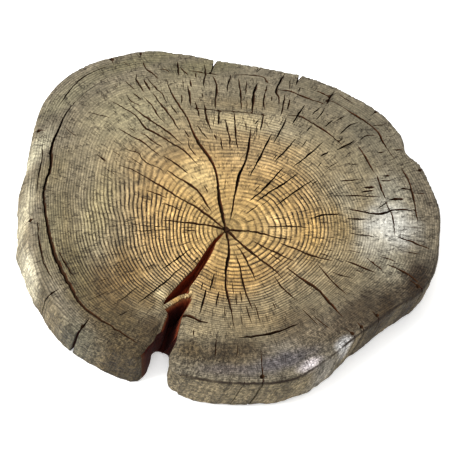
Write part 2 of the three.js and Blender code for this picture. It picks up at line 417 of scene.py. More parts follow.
FINE_CHECKS: tuple[tuple[Course, float], ...] = (
    (((126, 162), (123, 137), (123, 122), (120.5, 110), (118, 99), (114, 86), (111, 73), (109, 64)), 1.4),
    (((122, 150), (121, 137), (119, 123.5), (116, 109), (114, 97), (112, 89)), 1.4),
    (((117, 153), (116, 140), (116, 127), (115, 119)), 1.0),
    (((115, 180), (116, 173), (116, 165), (116, 156)), 1.3),
    (((119, 176), (118, 163)), 0.9),
    (((119, 161), (118, 150)), 1.1),
    (((114, 171), (114, 156)), 1.6),
    (((113.6, 154), (113, 138), (112, 126), (111, 106)), 1.3),
    (((109, 106), (108, 95)), 1.0),
    (((113, 173), (112, 157), (111, 149), (111, 137)), 1.0),
    (((110, 136), (109, 122)), 1.0),
    (((102, 154), (103, 129)), 1.6),
    (((101, 134), (101, 115)), 1.3),
    (((98, 131), (98, 110), (97, 99)), 1.6),
    (((94, 162), (93, 149), (94, 130), (94, 122)), 1.5),
    (((96, 176), (96, 166), (97, 154), (97, 147)), 1.2),
    (((103, 183), (104, 165)), 1.5),
    (((103, 176), (101, 164)), 1.0),
    (((112, 191), (112, 181), (111, 175), (110, 166)), 1.2),
    (((101, 160), (101, 150)), 1.4),
    (((99, 167), (99, 160)), 1.3),
    (((105, 144), (106, 133)), 1.1),
    (((103, 108), (101, 97), (99, 90)), 1.0),
    (((96, 96), (95, 89)), 1.0),
    (((98, 143), (98, 137)), 1.0),
    (((93, 122), (93, 106)), 1.1),
    (((131, 135), (130, 123), (128, 111), (127, 98), (126, 88)), 1.1),
    (((125, 88), (122, 76), (119, 61)), 1.3),
    (((126, 119), (125, 115), (124, 105), (122, 95)), 1.1),
    (((136, 117), (135, 110), (133, 103), (134, 97), (134, 89), (132, 82), (131, 74)), 0.9),
    (((149, 73), (148, 64), (147, 54)), 1.1),
    (((109, 95), (110, 87), (109, 79), (108, 74)), 0.8),
    (((122, 177), (122, 172)), 0.8),
    (((121, 162), (121, 152), (119, 143)), 0.8),
    (((134, 166), (132, 156), (130, 146)), 0.7),
    (((88.4, 163), (89.4, 150), (89.6, 142)), 1.2),
    (((86.3, 159), (85, 140), (84, 122)), 1.3),
    (((83.5, 156), (83.3, 139)), 1.0),
    (((77, 154), (76.6, 147)), 0.9),
    (((77, 149), (76.5, 134), (75.3, 125)), 1.2),
    (((74.5, 143), (74, 136)), 0.9),
    (((70.6, 149), (69.4, 134), (68.7, 122)), 1.2),
    (((68.4, 144), (67.5, 131)), 1.3),
    (((67, 160), (67, 154)), 1.0),
    (((63, 143), (63, 128), (63, 118)), 1.4),
    (((58, 147), (58.7, 135)), 1.1),
    (((56.6, 149), (56.3, 141), (56.3, 131)), 0.9),
    (((56.3, 125.5), (56.3, 117)), 0.9),
    (((66.3, 123), (66, 110), (66, 93)), 1.2),
    (((70, 54), (69, 84), (69, 104)), 1.4),
    (((75.4, 121), (74.7, 110), (74.3, 102)), 1.3),
    (((87, 120), (86, 104), (85, 91), (83, 79)), 1.3),
    (((90.5, 112), (89.7, 102), (88.4, 92), (87.7, 78)), 1.2),
    (((92.6, 121), (93.8, 104)), 0.9),
    (((93, 92), (92, 78)), 1.1),
    (((71, 167), (69.8, 154)), 0.8),
    (((60, 75), (58.5, 92), (58, 107)), 1.2),
    (((49, 80), (48, 98), (48, 117)), 1.2),
    (((56, 31), (53, 50), (53, 76)), 1.4),
    (((48, 33), (46, 51), (44, 66), (44, 79)), 1.3),
    (((30, 44), (34, 67), (35, 85)), 1.2),
    (((49.6, 151), (50.4, 141)), 0.9),
    (((51.4, 141), (52.2, 130)), 1.1),
    (((44.8, 153), (46, 146), (46, 138), (45.8, 131)), 1.1),
    (((37.7, 153), (39.4, 147), (39.3, 139)), 0.9),
    (((40.5, 137), (40.7, 127), (41.6, 117)), 1.4),
    (((43, 113), (43.5, 103)), 1.3),
    (((44, 131), (44, 125)), 0.9),
    (((34, 115), (31, 123)), 0.8),
    (((28, 99), (24.5, 116)), 1.0),
    (((20.4, 114), (19.2, 123)), 2.2),
    (((18.8, 110), (18, 121)), 1.5),
    (((20.6, 90), (17.6, 106), (14, 126)), 1.0),
    (((22.8, 133), (22, 139)), 1.5),
    (((21.3, 129.5), (19.7, 138)), 1.1),
    (((16, 141), (14.8, 150)), 1.5),
    (((13.4, 150), (12.3, 158)), 0.8),
    (((12.6, 129), (11.8, 141)), 2.1),
    (((9.5, 118), (11.6, 127)), 0.9),
    (((41.4, 158.5), (39, 168)), 0.9),
    (((30.5, 155), (29, 162)), 1.2),
    (((32, 142), (31, 148)), 1.3),
    (((57.6, 168), (57.4, 160), (56.8, 152)), 1.3),
    (((8, 63), (10, 76), (9, 91)), 1.4),
    (((6, 92), (5, 107)), 1.4),
    (((357.5, 93), (356.5, 112)), 0.9),
    (((5, 30), (3, 50), (1, 63)), 1.1),
    (((343, 40), (341, 54), (339, 69), (340, 85)), 1.3),
    (((331, 23), (330, 41), (330, 59)), 1.3),
    (((297, 16), (299, 27), (296, 44), (295, 52)), 1.2),
    (((288, 24), (286, 40), (284, 54), (285, 75)), 1.2),
    (((310, 55), (308, 67), (309, 83)), 1.1),
    (((335, 74), (328, 94), (326, 107)), 1.0),
    (((342, 92), (341, 104), (340, 118)), 1.3),
    (((346, 107), (342, 121)), 0.9),
    (((357, 128), (355, 141), (353, 154)), 1.3),
    (((345, 123), (343, 139), (341, 149)), 1.4),
    (((255, 54), (256, 77)), 1.4),
    (((258, 40), (258, 57)), 1.1),
    (((265, 55), (264, 69)), 1.1),
    (((226, 45), (227, 68), (226, 93)), 1.1),
    (((214, 30), (218, 61)), 1.0),
    (((180, 40), (182, 75)), 0.8),
)

BAND_SHAKE = Check((
    (122, 188), (131, 183), (138, 177), (143, 170), (150, 162), (156, 152), (161, 149), (166, 146),
    (174, 139), (185, 132), (192, 129), (202, 125), (212, 124), (221, 120), (232, 117), (239, 117),
), 1.9, 10, 0.35)
FAR_SHAKE = Check((
    (58, 156), (55.7, 158), (48, 157), (41.5, 157.6), (38, 156.7), (34.4, 153.5), (31, 151.5), (27, 151),
), 1.9, 9)
RING_SHAKES = (
    BAND_SHAKE,
    Check(((189, 127), (195, 123), (201, 120)), 1.1),
    Check(((248.2, 81.8), (252, 81.4), (257, 83), (262, 83.5)), 1.8, 9, 0.2, True),
    Check(((275, 95), (284, 96), (291, 97), (302, 98)), 1.5, 8),
    Check(((73.6, 151), (69.7, 152), (63.5, 150.5), (57.2, 151.5)), 1.4),
    Check(((67, 125.7), (62, 129), (56.7, 127.7), (51, 126.7), (44.7, 125.7), (41.6, 125.4)), 1.4),
    FAR_SHAKE,
    Check(((62.3, 161.6), (57.6, 161)), 1.2),
    Check(((38, 134), (34.6, 132.7), (29, 130), (25, 129)), 1.3),
    Check(((24, 130), (18, 127), (13, 127)), 1.3),
    Check(((24, 151), (17, 150), (8, 147), (2, 146)), 1.3),
    Check(((88, 162), (82.6, 162.7), (78.4, 162), (77.5, 157), (75.2, 156.6)), 0.9),
    Check(((101, 170), (97, 166), (92, 162)), 1.1),
    Check(((109, 178), (107, 175), (106, 170)), 0.8),
    Check(((104, 128), (99, 124), (93, 121), (86, 119.6), (80, 119), (74, 120)), 0.8),
    Check(((56, 168), (51.6, 167), (50.3, 167.7)), 0.9),
    Check(((12, 126), (4, 128), (357, 127)), 1.0),
    Check(((121, 199), (127, 200), (132, 195), (138, 187)), 1.0),
    Check(((150, 171), (154, 163), (160, 157), (167, 151)), 1.0),
    Check(((176, 144), (184, 141), (193, 138), (200, 134)), 1.1),
    Check(((311, 130), (320, 130), (327, 135), (334, 144), (338, 148)), 1.1),
)


SUNKEN_PLATES: tuple[tuple[Course, float], ...] = (
    (BAND_SHAKE.course, 1.3),
    (FAR_SHAKE.course[::-1], 0.8),
    (((68, 121), (108, 127)), 0.7),
    (((278, 117), (288, 119), (300, 116), (312, 118)), 0.7),
)


@dataclass(frozen=True)
class CheckSwarm:
    """A patch of small checks: where it lies, how many there are and how long they run."""

    bearings: tuple[float, float]
    radii: tuple[float, float]
    count: int
    lengths: tuple[float, float]
    width: float = 0.75

    def scatter(self, draw: random.Random) -> list[Check]:
        """Draws the patch's checks.

        Args:
            draw: The source of chance.

        Returns:
            The checks, each running outwards.
        """
        found = []
        for _ in range(self.count):
            bearing = draw.uniform(*self.bearings)
            start = draw.uniform(*self.radii)
            end = start + draw.uniform(*self.lengths)
            turn = draw.uniform(-1.6, 1.6)
            course = ((bearing, start), (bearing + turn * 0.4, (start + end) / 2), (bearing + turn, end))
            found.append(Check(course, self.width * draw.uniform(0.7, 1.3), draw.uniform(3.0, 6.0), 0.22))
        return found


CHECK_SWARMS = (
    CheckSwarm((68, 106), (84, 150), 34, (4, 13), 0.65),
    CheckSwarm((30, 68), (60, 140), 16, (6, 16), 0.65),
    CheckSwarm((-20, 30), (55, 140), 20, (5, 18), 0.65),
    CheckSwarm((278, 340), (55, 105), 20, (7, 22), 0.65),
    CheckSwarm((245, 278), (40, 100), 12, (6, 18), 0.7),
    CheckSwarm((108, 150), (70, 165), 18, (6, 18), 0.6),
    CheckSwarm((150, 236), (30, 100), 18, (6, 22), 0.6),
    CheckSwarm((0, 360), (12, 55), 26, (5, 15), 0.65),
    CheckSwarm((30, 130), (165, 190), 12, (4, 9), 0.6),
)
UNDERSIDE_SWARMS = (
    CheckSwarm((0, 360), (15, 90), 34, (14, 46), 1.3),
    CheckSwarm((0, 360), (60, 105), 18, (6, 16), 1.0),
)


@dataclass(frozen=True)
class RimGap:
    bearing: float
    width: float
    reach: float
    run_in: float = 0.0


RIM_GAPS = (
    RimGap(92.5, 4.2, 6.5, 12),
    RimGap(68.5, 4.4, 5.0, 10),
    RimGap(281.0, 1.6, 5.5, 20),
    RimGap(275.5, 0.9, 3.0),
    RimGap(221.0, 2.6, 6.5, 9),
    RimGap(204.0, 1.6, 4.5, 6),
    RimGap(339.5, 1.6, 4.5, 10),
    RimGap(324.0, 1.0, 3.5, 6),
    RimGap(318.0, 1.1, 3.5, 6),
    RimGap(314.0, 1.1, 4.0, 8),
    RimGap(118.5, 1.4, 4.0, 8),
    RimGap(111.5, 1.0, 3.5, 8),
    RimGap(44.0, 1.0, 3.5, 6),
    RimGap(20.5, 1.3, 3.5, 5),
    RimGap(176.0, 1.0, 3.0, 4),
    RimGap(147.0, 1.1, 3.5, 6),
)


@dataclass(frozen=True)
class OpenSplit:
    """The split from the pith to the rim, with the tongue of wood that reaches across it."""

    left_lip: Course = (
        (-0.5, 0.5), (-5, -4.2), (-9.7, -10.2), (-14.8, -19), (-20, -29), (-24, -36), (-30, -43),
        (-36, -51), (-41, -58), (-44, -63), (-45.5, -68), (-43.5, -73), (-45, -80), (-47.5, -87),
        (-48.5, -91),
    )
    right_lip: Course = (
        (0.5, -0.5), (-3.4, -6.6), (-7.2, -12.4), (-8.2, -16), (-10, -21), (-14, -30), (-18.5, -38.5),
        (-22, -45), (-25, -50), (-26.5, -54), (-24, -58), (-24.5, -62), (-27, -68), (-30.5, -75.5),
        (-32, -82.5), (-33.5, -91),
    )
    left_mouth: Course = ((-48.5, -91), (-50.5, -96), (-54, -100), (-57, -105), (-61, -109.5))
    right_mouth: Course = (
        (-33.5, -91), (-34, -95), (-36.5, -102), (-38.8, -108), (-39.2, -113), (-38.2, -117.2),
        (-35.5, -119.8), (-32, -121.6),
    )
    tongue: Course = ((-47, -69), (-42, -65.5), (-37, -61.5), (-32, -58), (-27.5, -56.5))
    tongue_rise: tuple[float, float] = (32.4, 30.6)
    arch_rise: float = 3.5
    mouth_spread: float = 6.5
    depths: Course = ((0, 6), (20, 14), (45, 23), (70, 29), (92, 32.8))

    def lips(self) -> tuple[np.ndarray, np.ndarray]:
        """Draws the two lips from the pith to the through opening.

        Returns:
            The left lip and the right lip.
        """
        return open_curve(self.left_lip, 1.1), open_curve(self.right_lip, 1.1)

    def arch(self) -> np.ndarray:
        """Draws the arch where the split begins to go right through.

        Returns:
            The arch's points, from left to right.
        """
        start, end = np.array(self.left_lip[-1], dtype=float), np.array(self.right_lip[-1], dtype=float)
        share = np.linspace(0.0, 1.0, 13)[:, None]
        return start + (end - start) * share + np.array([0.0, self.arch_rise]) * np.sin(math.pi * share)

    def crest(self) -> np.ndarray:
        """Draws the crest of the tongue.

        Returns:
            The crest's points, from its root to its tip.
        """
        return open_curve(self.tongue, 1.1)

    def tongue_height(self, points: np.ndarray) -> np.ndarray:
        """Gives the height of the tongue's surface, steep towards the pith and rounded towards the rim.

        Args:
            points: Plan points.

        Returns:
            The height at each point.
        """
        crest = self.crest()
        gap, share = distance_to_line(points, crest)
        grid = np.linspace(0, 1, len(crest))
        spot = np.stack([np.interp(share, grid, crest[:, axis]) for axis in (0, 1)], 1)
        away = points - spot
        behind = smoothstep(-1.0, 1.5, away @ np.array([-0.55, 0.83]))
        top = self.tongue_rise[0] + (self.tongue_rise[1] - self.tongue_rise[0]) * share
        front = 0.11 * gap**2 + 1.1 * np.maximum(gap - 4.6, 0.0) ** 2
        return top - behind * 1.1 * gap**2 - (1 - behind) * front

    def foot_push(self, points: np.ndarray) -> np.ndarray:
        """Gives how far the foot of the mouth runs sideways, with the lean of the grain.

        Args:
            points: Plan points.

        Returns:
            The sideways push at each point.
        """
        near_rim = smoothstep(87.0, 106.0, -points[:, 1])
        near_mouth = smoothstep(34.0, 14.0, np.abs(points[:, 0] + 44.0))
        return self.mouth_spread * near_rim * near_mouth

    def depth_at(self, points: np.ndarray) -> np.ndarray:
        """Gives the split's depth along its length.

        Args:
            points: Plan points.

        Returns:
            The depth below the upper face.
        """
        return level_along(self.depths, -points[:, 1])


@dataclass(frozen=True)
class Patch:
    """A soft patch on the wood, by bearing and radius from the pith, with its half width each way."""

    bearing: float
    radius: float
    deep: float
    wide: float

    def reach(self, place: np.ndarray, seed: float) -> np.ndarray:
        """Measures how far points lie inside the patch.

        Args:
            place: Points in log space.
            seed: Sets the patch's ragged edge.

        Returns:
            1 in the middle of the patch, falling to 0 outside it.
        """
        centre = polar_points(((self.bearing, self.radius),))[0]
        outward = centre / max(np.linalg.norm(centre), 1e-9)
        away = place[:, :2] - centre
        across = np.array([-outward[1], outward[0]])
        far = np.hypot(away @ outward / self.deep, away @ across / self.wide)
        return 1 - smoothstep(0.25, 1.45, far + 0.22 * grain_noise(place, 8.0, seed))


@dataclass(frozen=True)
class TintPatch(Patch):
    """A soft patch of colour: a stain or weathered tone, or a painted highlight or painted shade."""

    tint: str
    strength: float = 0.8


@dataclass(frozen=True)
class Wear(Patch):
    """A soft patch where the ring lines or the grit are stronger or weaker."""

    level: float


@dataclass(frozen=True)
class Weathering:
    """The slow colour of the wood: honey at the heart, grey outside, and the patches on it, which hold
    real stains and also painted highlights and painted shade.
    """

    stops: tuple[tuple[float, str], ...] = (
        (0.0, "c6a972"), (0.22, "c3a36c"), (0.38, "b3976a"), (0.52, "a09071"), (0.68, "8f856e"),
        (0.85, "827a69"), (1.0, "7d7668"),
    )
    bark_side: str = "80745a"
    patina: tuple[float, float, float] = (0.79, 0.755, 0.68)
    stains_and_painted_light: tuple[TintPatch, ...] = tuple(TintPatch(*row) for row in (
        (113, 56, 22, 16, "dcc490", 0.7), (72, 84, 18, 34, "b39a72", 0.7),
        (66, 110, 12, 24, "b9ae94", 0.65), (122, 140, 34, 40, "9d967b", 0.85),
        (105, 152, 16, 30, "a39a80", 0.6), (86, 129, 8, 34, "8b7e64", 0.85),
        (86, 148, 16, 34, "8c8470", 0.6), (84, 108, 9, 26, "d0c09a", 0.8),
        (112, 192, 9, 60, "78735a", 0.8), (97, 172, 12, 40, "757058", 0.85),
        (135, 190, 10, 34, "8a866e", 0.6), (56, 160, 12, 60, "7d7663", 0.7),
        (44, 122, 14, 20, "837962", 0.6), (30, 128, 10, 14, "8f8770", 0.6),
        (40, 150, 14, 30, "757060", 0.7), (15, 132, 16, 20, "a3a195", 0.7),
        # The near-white patch at bearing 1, radius 124, is a painted highlight, a sheen on the upper face.
        (1, 124, 21, 22, "e6e8e6", 0.85), (352, 112, 14, 14, "c6c2b5", 0.7),
        (5, 86, 9, 22, "9c8558", 0.6), (355, 66, 12, 26, "bb9a5e", 0.6),
        (276, 46, 16, 24, "ae8b52", 0.55), (8, 158, 8, 46, "776f60", 0.85),
        # The dark patches at bearings 316 to 341 near the rim are partly darker wood and partly painted
        # shade on the side turned away from the light.
        (26, 152, 10, 22, "827b68", 0.7), (341, 148, 12, 26, "352a1e", 1.0),
        (328, 134, 11, 26, "3f3426", 1.0), (316, 117, 14, 26, "5b4f40", 0.85),
        (330, 96, 14, 18, "87795f", 0.6), (345, 125, 12, 14, "9b988a", 0.6),
        (300, 106, 14, 26, "726757", 0.8), (288, 112, 8, 18, "8d8880", 0.7),
        (301, 93, 10, 24, "6d604c", 0.8), (325, 121, 11, 22, "4e4334", 0.85),
        (273, 106, 13, 28, "564a38", 0.95), (256, 108, 10, 14, "5c4f39", 0.9),
        (258, 90, 7, 10, "a8997a", 0.5), (285, 84, 10, 24, "8f7c5a", 0.5),
        (238, 126, 16, 30, "4f4431", 0.95), (238, 104, 16, 12, "4c3d29", 0.9),
        (226, 110, 20, 26, "5c5039", 0.95), (212, 114, 14, 28, "62553c", 0.95),
        (211, 99, 13, 28, "67563a", 0.95), (208, 80, 14, 26, "8c7146", 0.8),
        (226, 84, 10, 14, "7f6b48", 0.7), (196, 118, 12, 34, "746a4c", 0.8),
        (178, 128, 14, 40, "756b50", 0.85), (158, 148, 12, 26, "7e7459", 0.7),
        # The cream patches at bearings 153 to 197 on the left rim band are partly pale weathered wood and
        # partly painted light on the side that faces the key lamp.
        (170, 100, 12, 40, "a09671", 0.5), (197, 150, 6, 36, "fbf6df", 0.9),
        (174, 156, 6, 30, "cbc4ac", 0.8), (153, 172, 8, 26, "c6c2ac", 0.85),
        (181, 132, 8, 34, "938c72", 0.6), (17, 96, 10, 22, "a8a18d", 0.65),
        (4, 38, 12, 14, "f0d096", 0.7), (222, 138, 9, 20, "6d6a5c", 0.85),
        # The pale spots at bearings 230.5, 241 and 245 are painted highlights on the split's left lip and
        # the tongue's crest; the dark spot at bearing 244, radius 81, is painted shade under the tongue.
        (230.5, 75, 4, 5, "dfd0a8", 0.75), (241, 71, 5, 9, "cba465", 0.9), (245, 64, 4, 5, "e0c490", 0.8),
        (244, 81, 7, 7, "5a4529", 0.7), (270, 120, 5, 22, "625b5c", 0.75),
        # The near-white spots at bearings 297 and 310, radius 130, are painted glints on the rounded rim.
        (290, 120, 7, 30, "605d65", 0.85), (297, 130, 4, 10, "e4dee9", 0.95),
        (310, 130, 4.5, 8, "f0f2fa", 0.95), (303, 136, 6, 12, "a9a6a2", 0.7),
    ))
    ring_marks: tuple[Wear, ...] = tuple(Wear(*row) for row in (
        (180, 50, 36, 46, 1.6), (205, 62, 30, 44, 1.6), (160, 78, 30, 30, 1.1), (190, 100, 24, 44, 1.1),
        (180, 124, 12, 50, 0.6), (355, 60, 40, 42, 0.8), (300, 45, 34, 44, 1.0), (25, 62, 30, 36, 1.1),
        (110, 60, 40, 40, 0.3), (76, 85, 25, 36, 0.6), (120, 140, 50, 74, 0.12), (80, 155, 40, 70, 0.12),
        (40, 140, 40, 60, 0.12), (2, 128, 30, 40, 0.05), (262, 112, 20, 44, 0.15),
        (310, 120, 28, 60, 0.2), (231, 118, 20, 34, 0.25), (241, 71, 7, 11, 0.1),
    ))
    grit_marks: tuple[Wear, ...] = tuple(Wear(*row) for row in (
        (262, 112, 26, 44, 1.5), (300, 122, 24, 50, 1.3), (232, 126, 22, 40, 1.4),
        (340, 140, 24, 40, 1.1), (8, 150, 16, 60, 0.8),
    ))

    def tints(self, place: np.ndarray, year_share: np.ndarray, side: np.ndarray) -> np.ndarray:
        """Mixes the slow colour at each point.

        Args:
            place: Points in log space.
            year_share: How far out each point lies, from 0 at the pith to 1 at the rim.
            side: How much each point belongs to the bark side.

        Returns:
            Linear colours, one per row.
        """
        drift = year_share + 0.06 * grain_noise(place, 34.0, 6.2) + 0.03 * grain_noise(place, 9.0, 2.4)
        at = [stop[0] for stop in self.stops]
        tones = np.array([linear(stop[1]) for stop in self.stops])
        colour = np.stack([np.interp(drift, at, tones[:, channel]) for channel in range(3)], 1)
        bark = side[:, None] * 0.7
        colour = colour * (1 - bark) + linear(self.bark_side) * bark
        for index, tint_patch in enumerate(self.stains_and_painted_light):
            share = tint_patch.strength * tint_patch.reach(place, 11.0 + index)[:, None]
            colour = colour * (1 - share) + linear(tint_patch.tint) * share
        return colour * np.array(self.patina)

    def levels(self, place: np.ndarray, base: np.ndarray, marks: tuple[Wear, ...]) -> np.ndarray:
        """Blends patches of wear over a starting level.

        Args:
            place: Points in log space.
            base: The level before the patches.
            marks: The patches.

        Returns:
            The level at each point.
        """
        level = base
        for index, mark in enumerate(marks):
            share = 0.85 * mark.reach(place, 61.0 + index)
            level = level * (1 - share) + mark.level * share
        return level


@dataclass
class Sheet:
    """A triangulated end face before it gets its heights."""

    plan: np.ndarray
    faces: np.ndarray
    rim: np.ndarray


@dataclass
class LogSlice:
    """The whole slice as one closed body."""

    outline: LogOutline = field(default_factory=LogOutline)
    split: OpenSplit = field(default_factory=OpenSplit)
    weathering: Weathering = field(default_factory=Weathering)
    thickness: float = 34.0
    lean: float = -11.0
    fill: float = 1.6
    under_fill: float = 4.5
    pit_fill: float = 0.95
    wall_rows: int = 17
    foot_inset: float = 1.0
    seed: int = 7
    headroom: float = 0.6
    least_height: float = 1.0
    heart_dish: float = 0.8
    split_from: float = 0.9
    gap_from: float = 0.35
    sharp_angle: float = 42.0
    lip_round: float = 1.8
    lip_drop: float = 0.9
    check_clearance: float = 2.2
    check_shade: float = 5.0
    check_dark_depth: float = 0.5
    foot_flare: Course = (
        (0, 8), (30, 3), (90, 0), (140, -1), (157, -1), (163, -1), (169, -0.5), (174, 2.5), (182, 3),
        (190, -1.5), (205, -1), (215, -2), (221, -3), (228, 0.5), (236, 3), (241, 3.5), (245, 0),
        (249, -1), (254, -0.5), (259, -1.5), (264, -0.5), (285, 0.5), (293, 2), (299, 6), (308, 7),
        (316, 4.5), (330, 3), (338, 3), (344, 6), (352, 8), (360, 8),
    )
    edge_sizes: Course = (
        (0, 3.5), (40, 3.2), (75, 3.0), (115, 3.5), (140, 6), (155, 9), (180, 10), (205, 9),
        (225, 5), (245, 3.5), (275, 2.5), (305, 2.8), (330, 3.2), (360, 3.5),
    )
    edge_darkness: Course = (
        (0, 0.5), (30, 0.6), (60, 0.5), (115, 0.35), (140, 0.2), (150, 0.0), (225, 0.0), (250, 0.5),
        (262, 0.95), (294, 0.95), (300, 0.5), (312, 0.9), (330, 1.0), (345, 0.8), (360, 0.5),
    )

    def __post_init__(self) -> None:
        """Draws the shapes that the faces and the wall share."""
        self.rings = GrowthRings(self.outline)
        self.rim_line = self.outline.rim()
        self.gap_runs: list[Check] = []
        self.loop, self.outward, self.inner = self.draw_loop()
        self.left_lip, self.right_lip = self.split.lips()
        self.arch = self.split.arch()
        self.pit = np.concatenate([self.left_lip, self.arch[1:-1], self.right_lip[::-1]])

    def draw_loop(self) -> tuple[np.ndarray, np.ndarray, np.ndarray]:
        """Joins the rim, its gaps and the notch of the split into one loop.

        Returns:
            The loop's points, their outward directions, and 1 where a point is inside a gap or the notch.
        """
        rim = self.rim_line
        ahead = np.roll(rim, -1, axis=0) - np.roll(rim, 1, axis=0)
        normal = np.stack([ahead[:, 1], -ahead[:, 0]], 1)
        normal /= np.linalg.norm(normal, axis=1)[:, None]
        bearing = bearings_of(rim)
        rows: dict[int, list[tuple[np.ndarray, np.ndarray, float]]] = {
            index: [(rim[index], normal[index], 0.0)] for index in range(len(rim))
        }
        for gap in RIM_GAPS:
            self.open_gap(rows, rim, normal, bearing, gap)
        return self.open_notch(rows, rim)

    def open_gap(self, rows: dict, rim: np.ndarray, normal: np.ndarray, bearing: np.ndarray,
                 gap: RimGap) -> None:
        """Cuts one gap in the rim.

        Args:
            rows: The loop so far, as the points that stand for each rim point.
            rim: The rim's points.
            normal: The rim's outward directions.
            bearing: The rim's bearings.
            gap: The gap to cut.
        """
        turn = np.abs((bearing - gap.bearing + 180) % 360 - 180)
        index = int(np.argmin(turn))
        place, out = rim[index], normal[index]
        along = np.array([-out[1], out[0]])
        near = np.linalg.norm(rim - place, axis=1) < gap.width / 2 + 0.5
        for hidden in np.nonzero(near)[0]:
            rows[int(hidden)] = []
        heart = place - out * gap.reach
        ways = ((-0.5, 0.0), (-0.36, 0.35), (-0.2, 0.7), (0.0, 1.0), (0.22, 0.7), (0.34, 0.35), (0.5, 0.0))
        rows[index] = [
            (place + along * side * gap.width - out * deep * gap.reach, out, float(0 < deep))
            for side, deep in ways
        ]
        if gap.run_in:
            end = heart - out * gap.run_in
            course = tuple(
                (math.degrees(math.atan2(point[1], point[0])), float(np.linalg.norm(point)))
                for point in (heart, end)
            )
            self.gap_runs.append(Check(course, min(1.3, 0.3 + 0.32 * gap.width), 7.0, 0.2, True))

    def open_notch(self, rows: dict, rim: np.ndarray) -> tuple[np.ndarray, np.ndarray, np.ndarray]:
        """Cuts the mouth of the split through the rim.

        Args:
            rows: The loop so far, as the points that stand for each rim point.
            rim: The rim's points.

        Returns:
            The loop's points, their outward directions, and 1 where a point is inside a gap or the notch.
        """
        left, right = open_curve(self.split.left_mouth, 1.3), open_curve(self.split.right_mouth, 1.3)
        notch = np.concatenate([left[::-1], self.split.arch()[1:-1], right])
        start = int(np.argmin(np.linalg.norm(rim - right[-1], axis=1)))
        end = int(np.argmin(np.linalg.norm(rim - left[-1], axis=1)))
        order = [index % len(rim) for index in range(start + 1, start + 1 + (end - start - 1) % len(rim))]
        kept = [entry for index in order for entry in rows[index]]
        points = np.array([entry[0] for entry in kept] + list(notch))
        ahead = np.roll(points, -1, axis=0) - np.roll(points, 1, axis=0)
        facing = np.stack([ahead[:, 1], -ahead[:, 0]], 1)
        facing /= np.maximum(np.linalg.norm(facing, axis=1), 1e-9)[:, None]
        facing[:len(kept)] = [entry[1] for entry in kept]
        inner = np.concatenate([[entry[2] for entry in kept], smoothstep(111.0, 103.0, -notch[:, 1])])
        return points, facing, inner

    def edge_round(self, bearing: np.ndarray) -> np.ndarray:
        """Gives how far the weather has rounded the upper edge.

        Args:
            bearing: Bearings in radians.

        Returns:
            The radius of the rounding.
        """
        return level_along(self.edge_sizes, np.degrees(bearing) % 360)

    def edge_line(self, place: np.ndarray) -> np.ndarray:
        """Gives how dark the line is where the face meets the bark side.

        Args:
            place: Points in log space.

        Returns:
            The share of the dark line at each point's bearing.
        """
        share = level_along(self.edge_darkness, bearings_of(place))
        return share * (1 + 0.5 * grain_noise(place, 9.0, 12.6))

    def plate_step(self, plan: np.ndarray) -> np.ndarray:
        """Gives how far the plates outside the ring shakes have sunk.

        Args:
            plan: Plan points.

        Returns:
            The drop of each point.
        """
        bearing, radius = bearings_of(plan), np.linalg.norm(plan, axis=1)
        drop = np.zeros(len(plan))
        for course, depth in SUNKEN_PLATES:
            start, end = course[0][0], course[-1][0]
            inside = smoothstep(0.0, 5.0, bearing - start) * smoothstep(0.0, 5.0, end - bearing)
            drop += depth * inside * smoothstep(-0.6, 0.6, radius - level_along(course, bearing))
        return drop

    def checks(self, swarms: tuple[CheckSwarm, ...], named: tuple[Check, ...]) -> list[Check]:
        """Gathers the cracks of one end face.

        Args:
            swarms: The patches of small checks.
            named: The checks placed one by one.

        Returns:
            All of them.
        """
        draw = random.Random(self.seed)
        taken = np.concatenate([check.centre() for check in named]) if named else np.full((1, 2), 1e6)
        scattered = [check for swarm in swarms for check in swarm.scatter(draw)]

        def stands_clear(check: Check) -> bool:
            """Tells whether a check keeps off the ones placed one by one.

            Args:
                check: The check.

            Returns:
                True where it may stay.
            """
            gaps = np.linalg.norm(check.centre()[:, None] - taken[None], axis=2)
            return bool(gaps.min() > self.check_clearance)

        return list(named) + [check for check in scattered if stands_clear(check)]

    def clear_of_edges(self, line: np.ndarray, loop: np.ndarray, margin: float, joined: bool) -> bool:
        """Tells whether a crack stays clear of the rim and of the split.

        Args:
            line: The crack's middle.
            loop: The edge of the face.
            margin: The least gap to keep.
            joined: Whether the crack may open out of the split.

        Returns:
            True where it may be cut.
        """
        if not inside_loop(line, loop).all():
            return False
        # A check that opens out of the split starts beside its lip, so its first points aren't measured.
        if joined:
            line = line[3:]
        if distance_to_line(line, close_up(loop))[0].min() < margin:
            return False
        if inside_loop(line, self.pit).any():
            return False
        return distance_to_line(line, close_up(self.pit))[0].min() >= margin

    def triangulate(self, loop: np.ndarray, fill: float, cracks: list[tuple[Check, np.ndarray]],
                    pit: np.ndarray | None) -> Sheet:
        """Triangulates an end face so that every crack has its lips and its keel as edges.

        Args:
            loop: The edge of the face.
            fill: The gap between the points between cracks.
            cracks: The cracks and their middles.
            pit: The loop of the open split, on the face that has it.

        Returns:
            The face, whose first points are the loop's.
        """
        points = [*loop]
        edges = [(index, (index + 1) % len(loop)) for index in range(len(loop))]

        def add_line(line: np.ndarray, closed: bool = False) -> None:
            """Adds a line of points and the edges that join them.

            Args:
                line: The line's points.
                closed: Whether its end joins its start.
            """
            first = len(points)
            points.extend(line)
            edges.extend((first + index, first + index + 1) for index in range(len(line) - 1))
            if closed:
                edges.append((first + len(line) - 1, first))

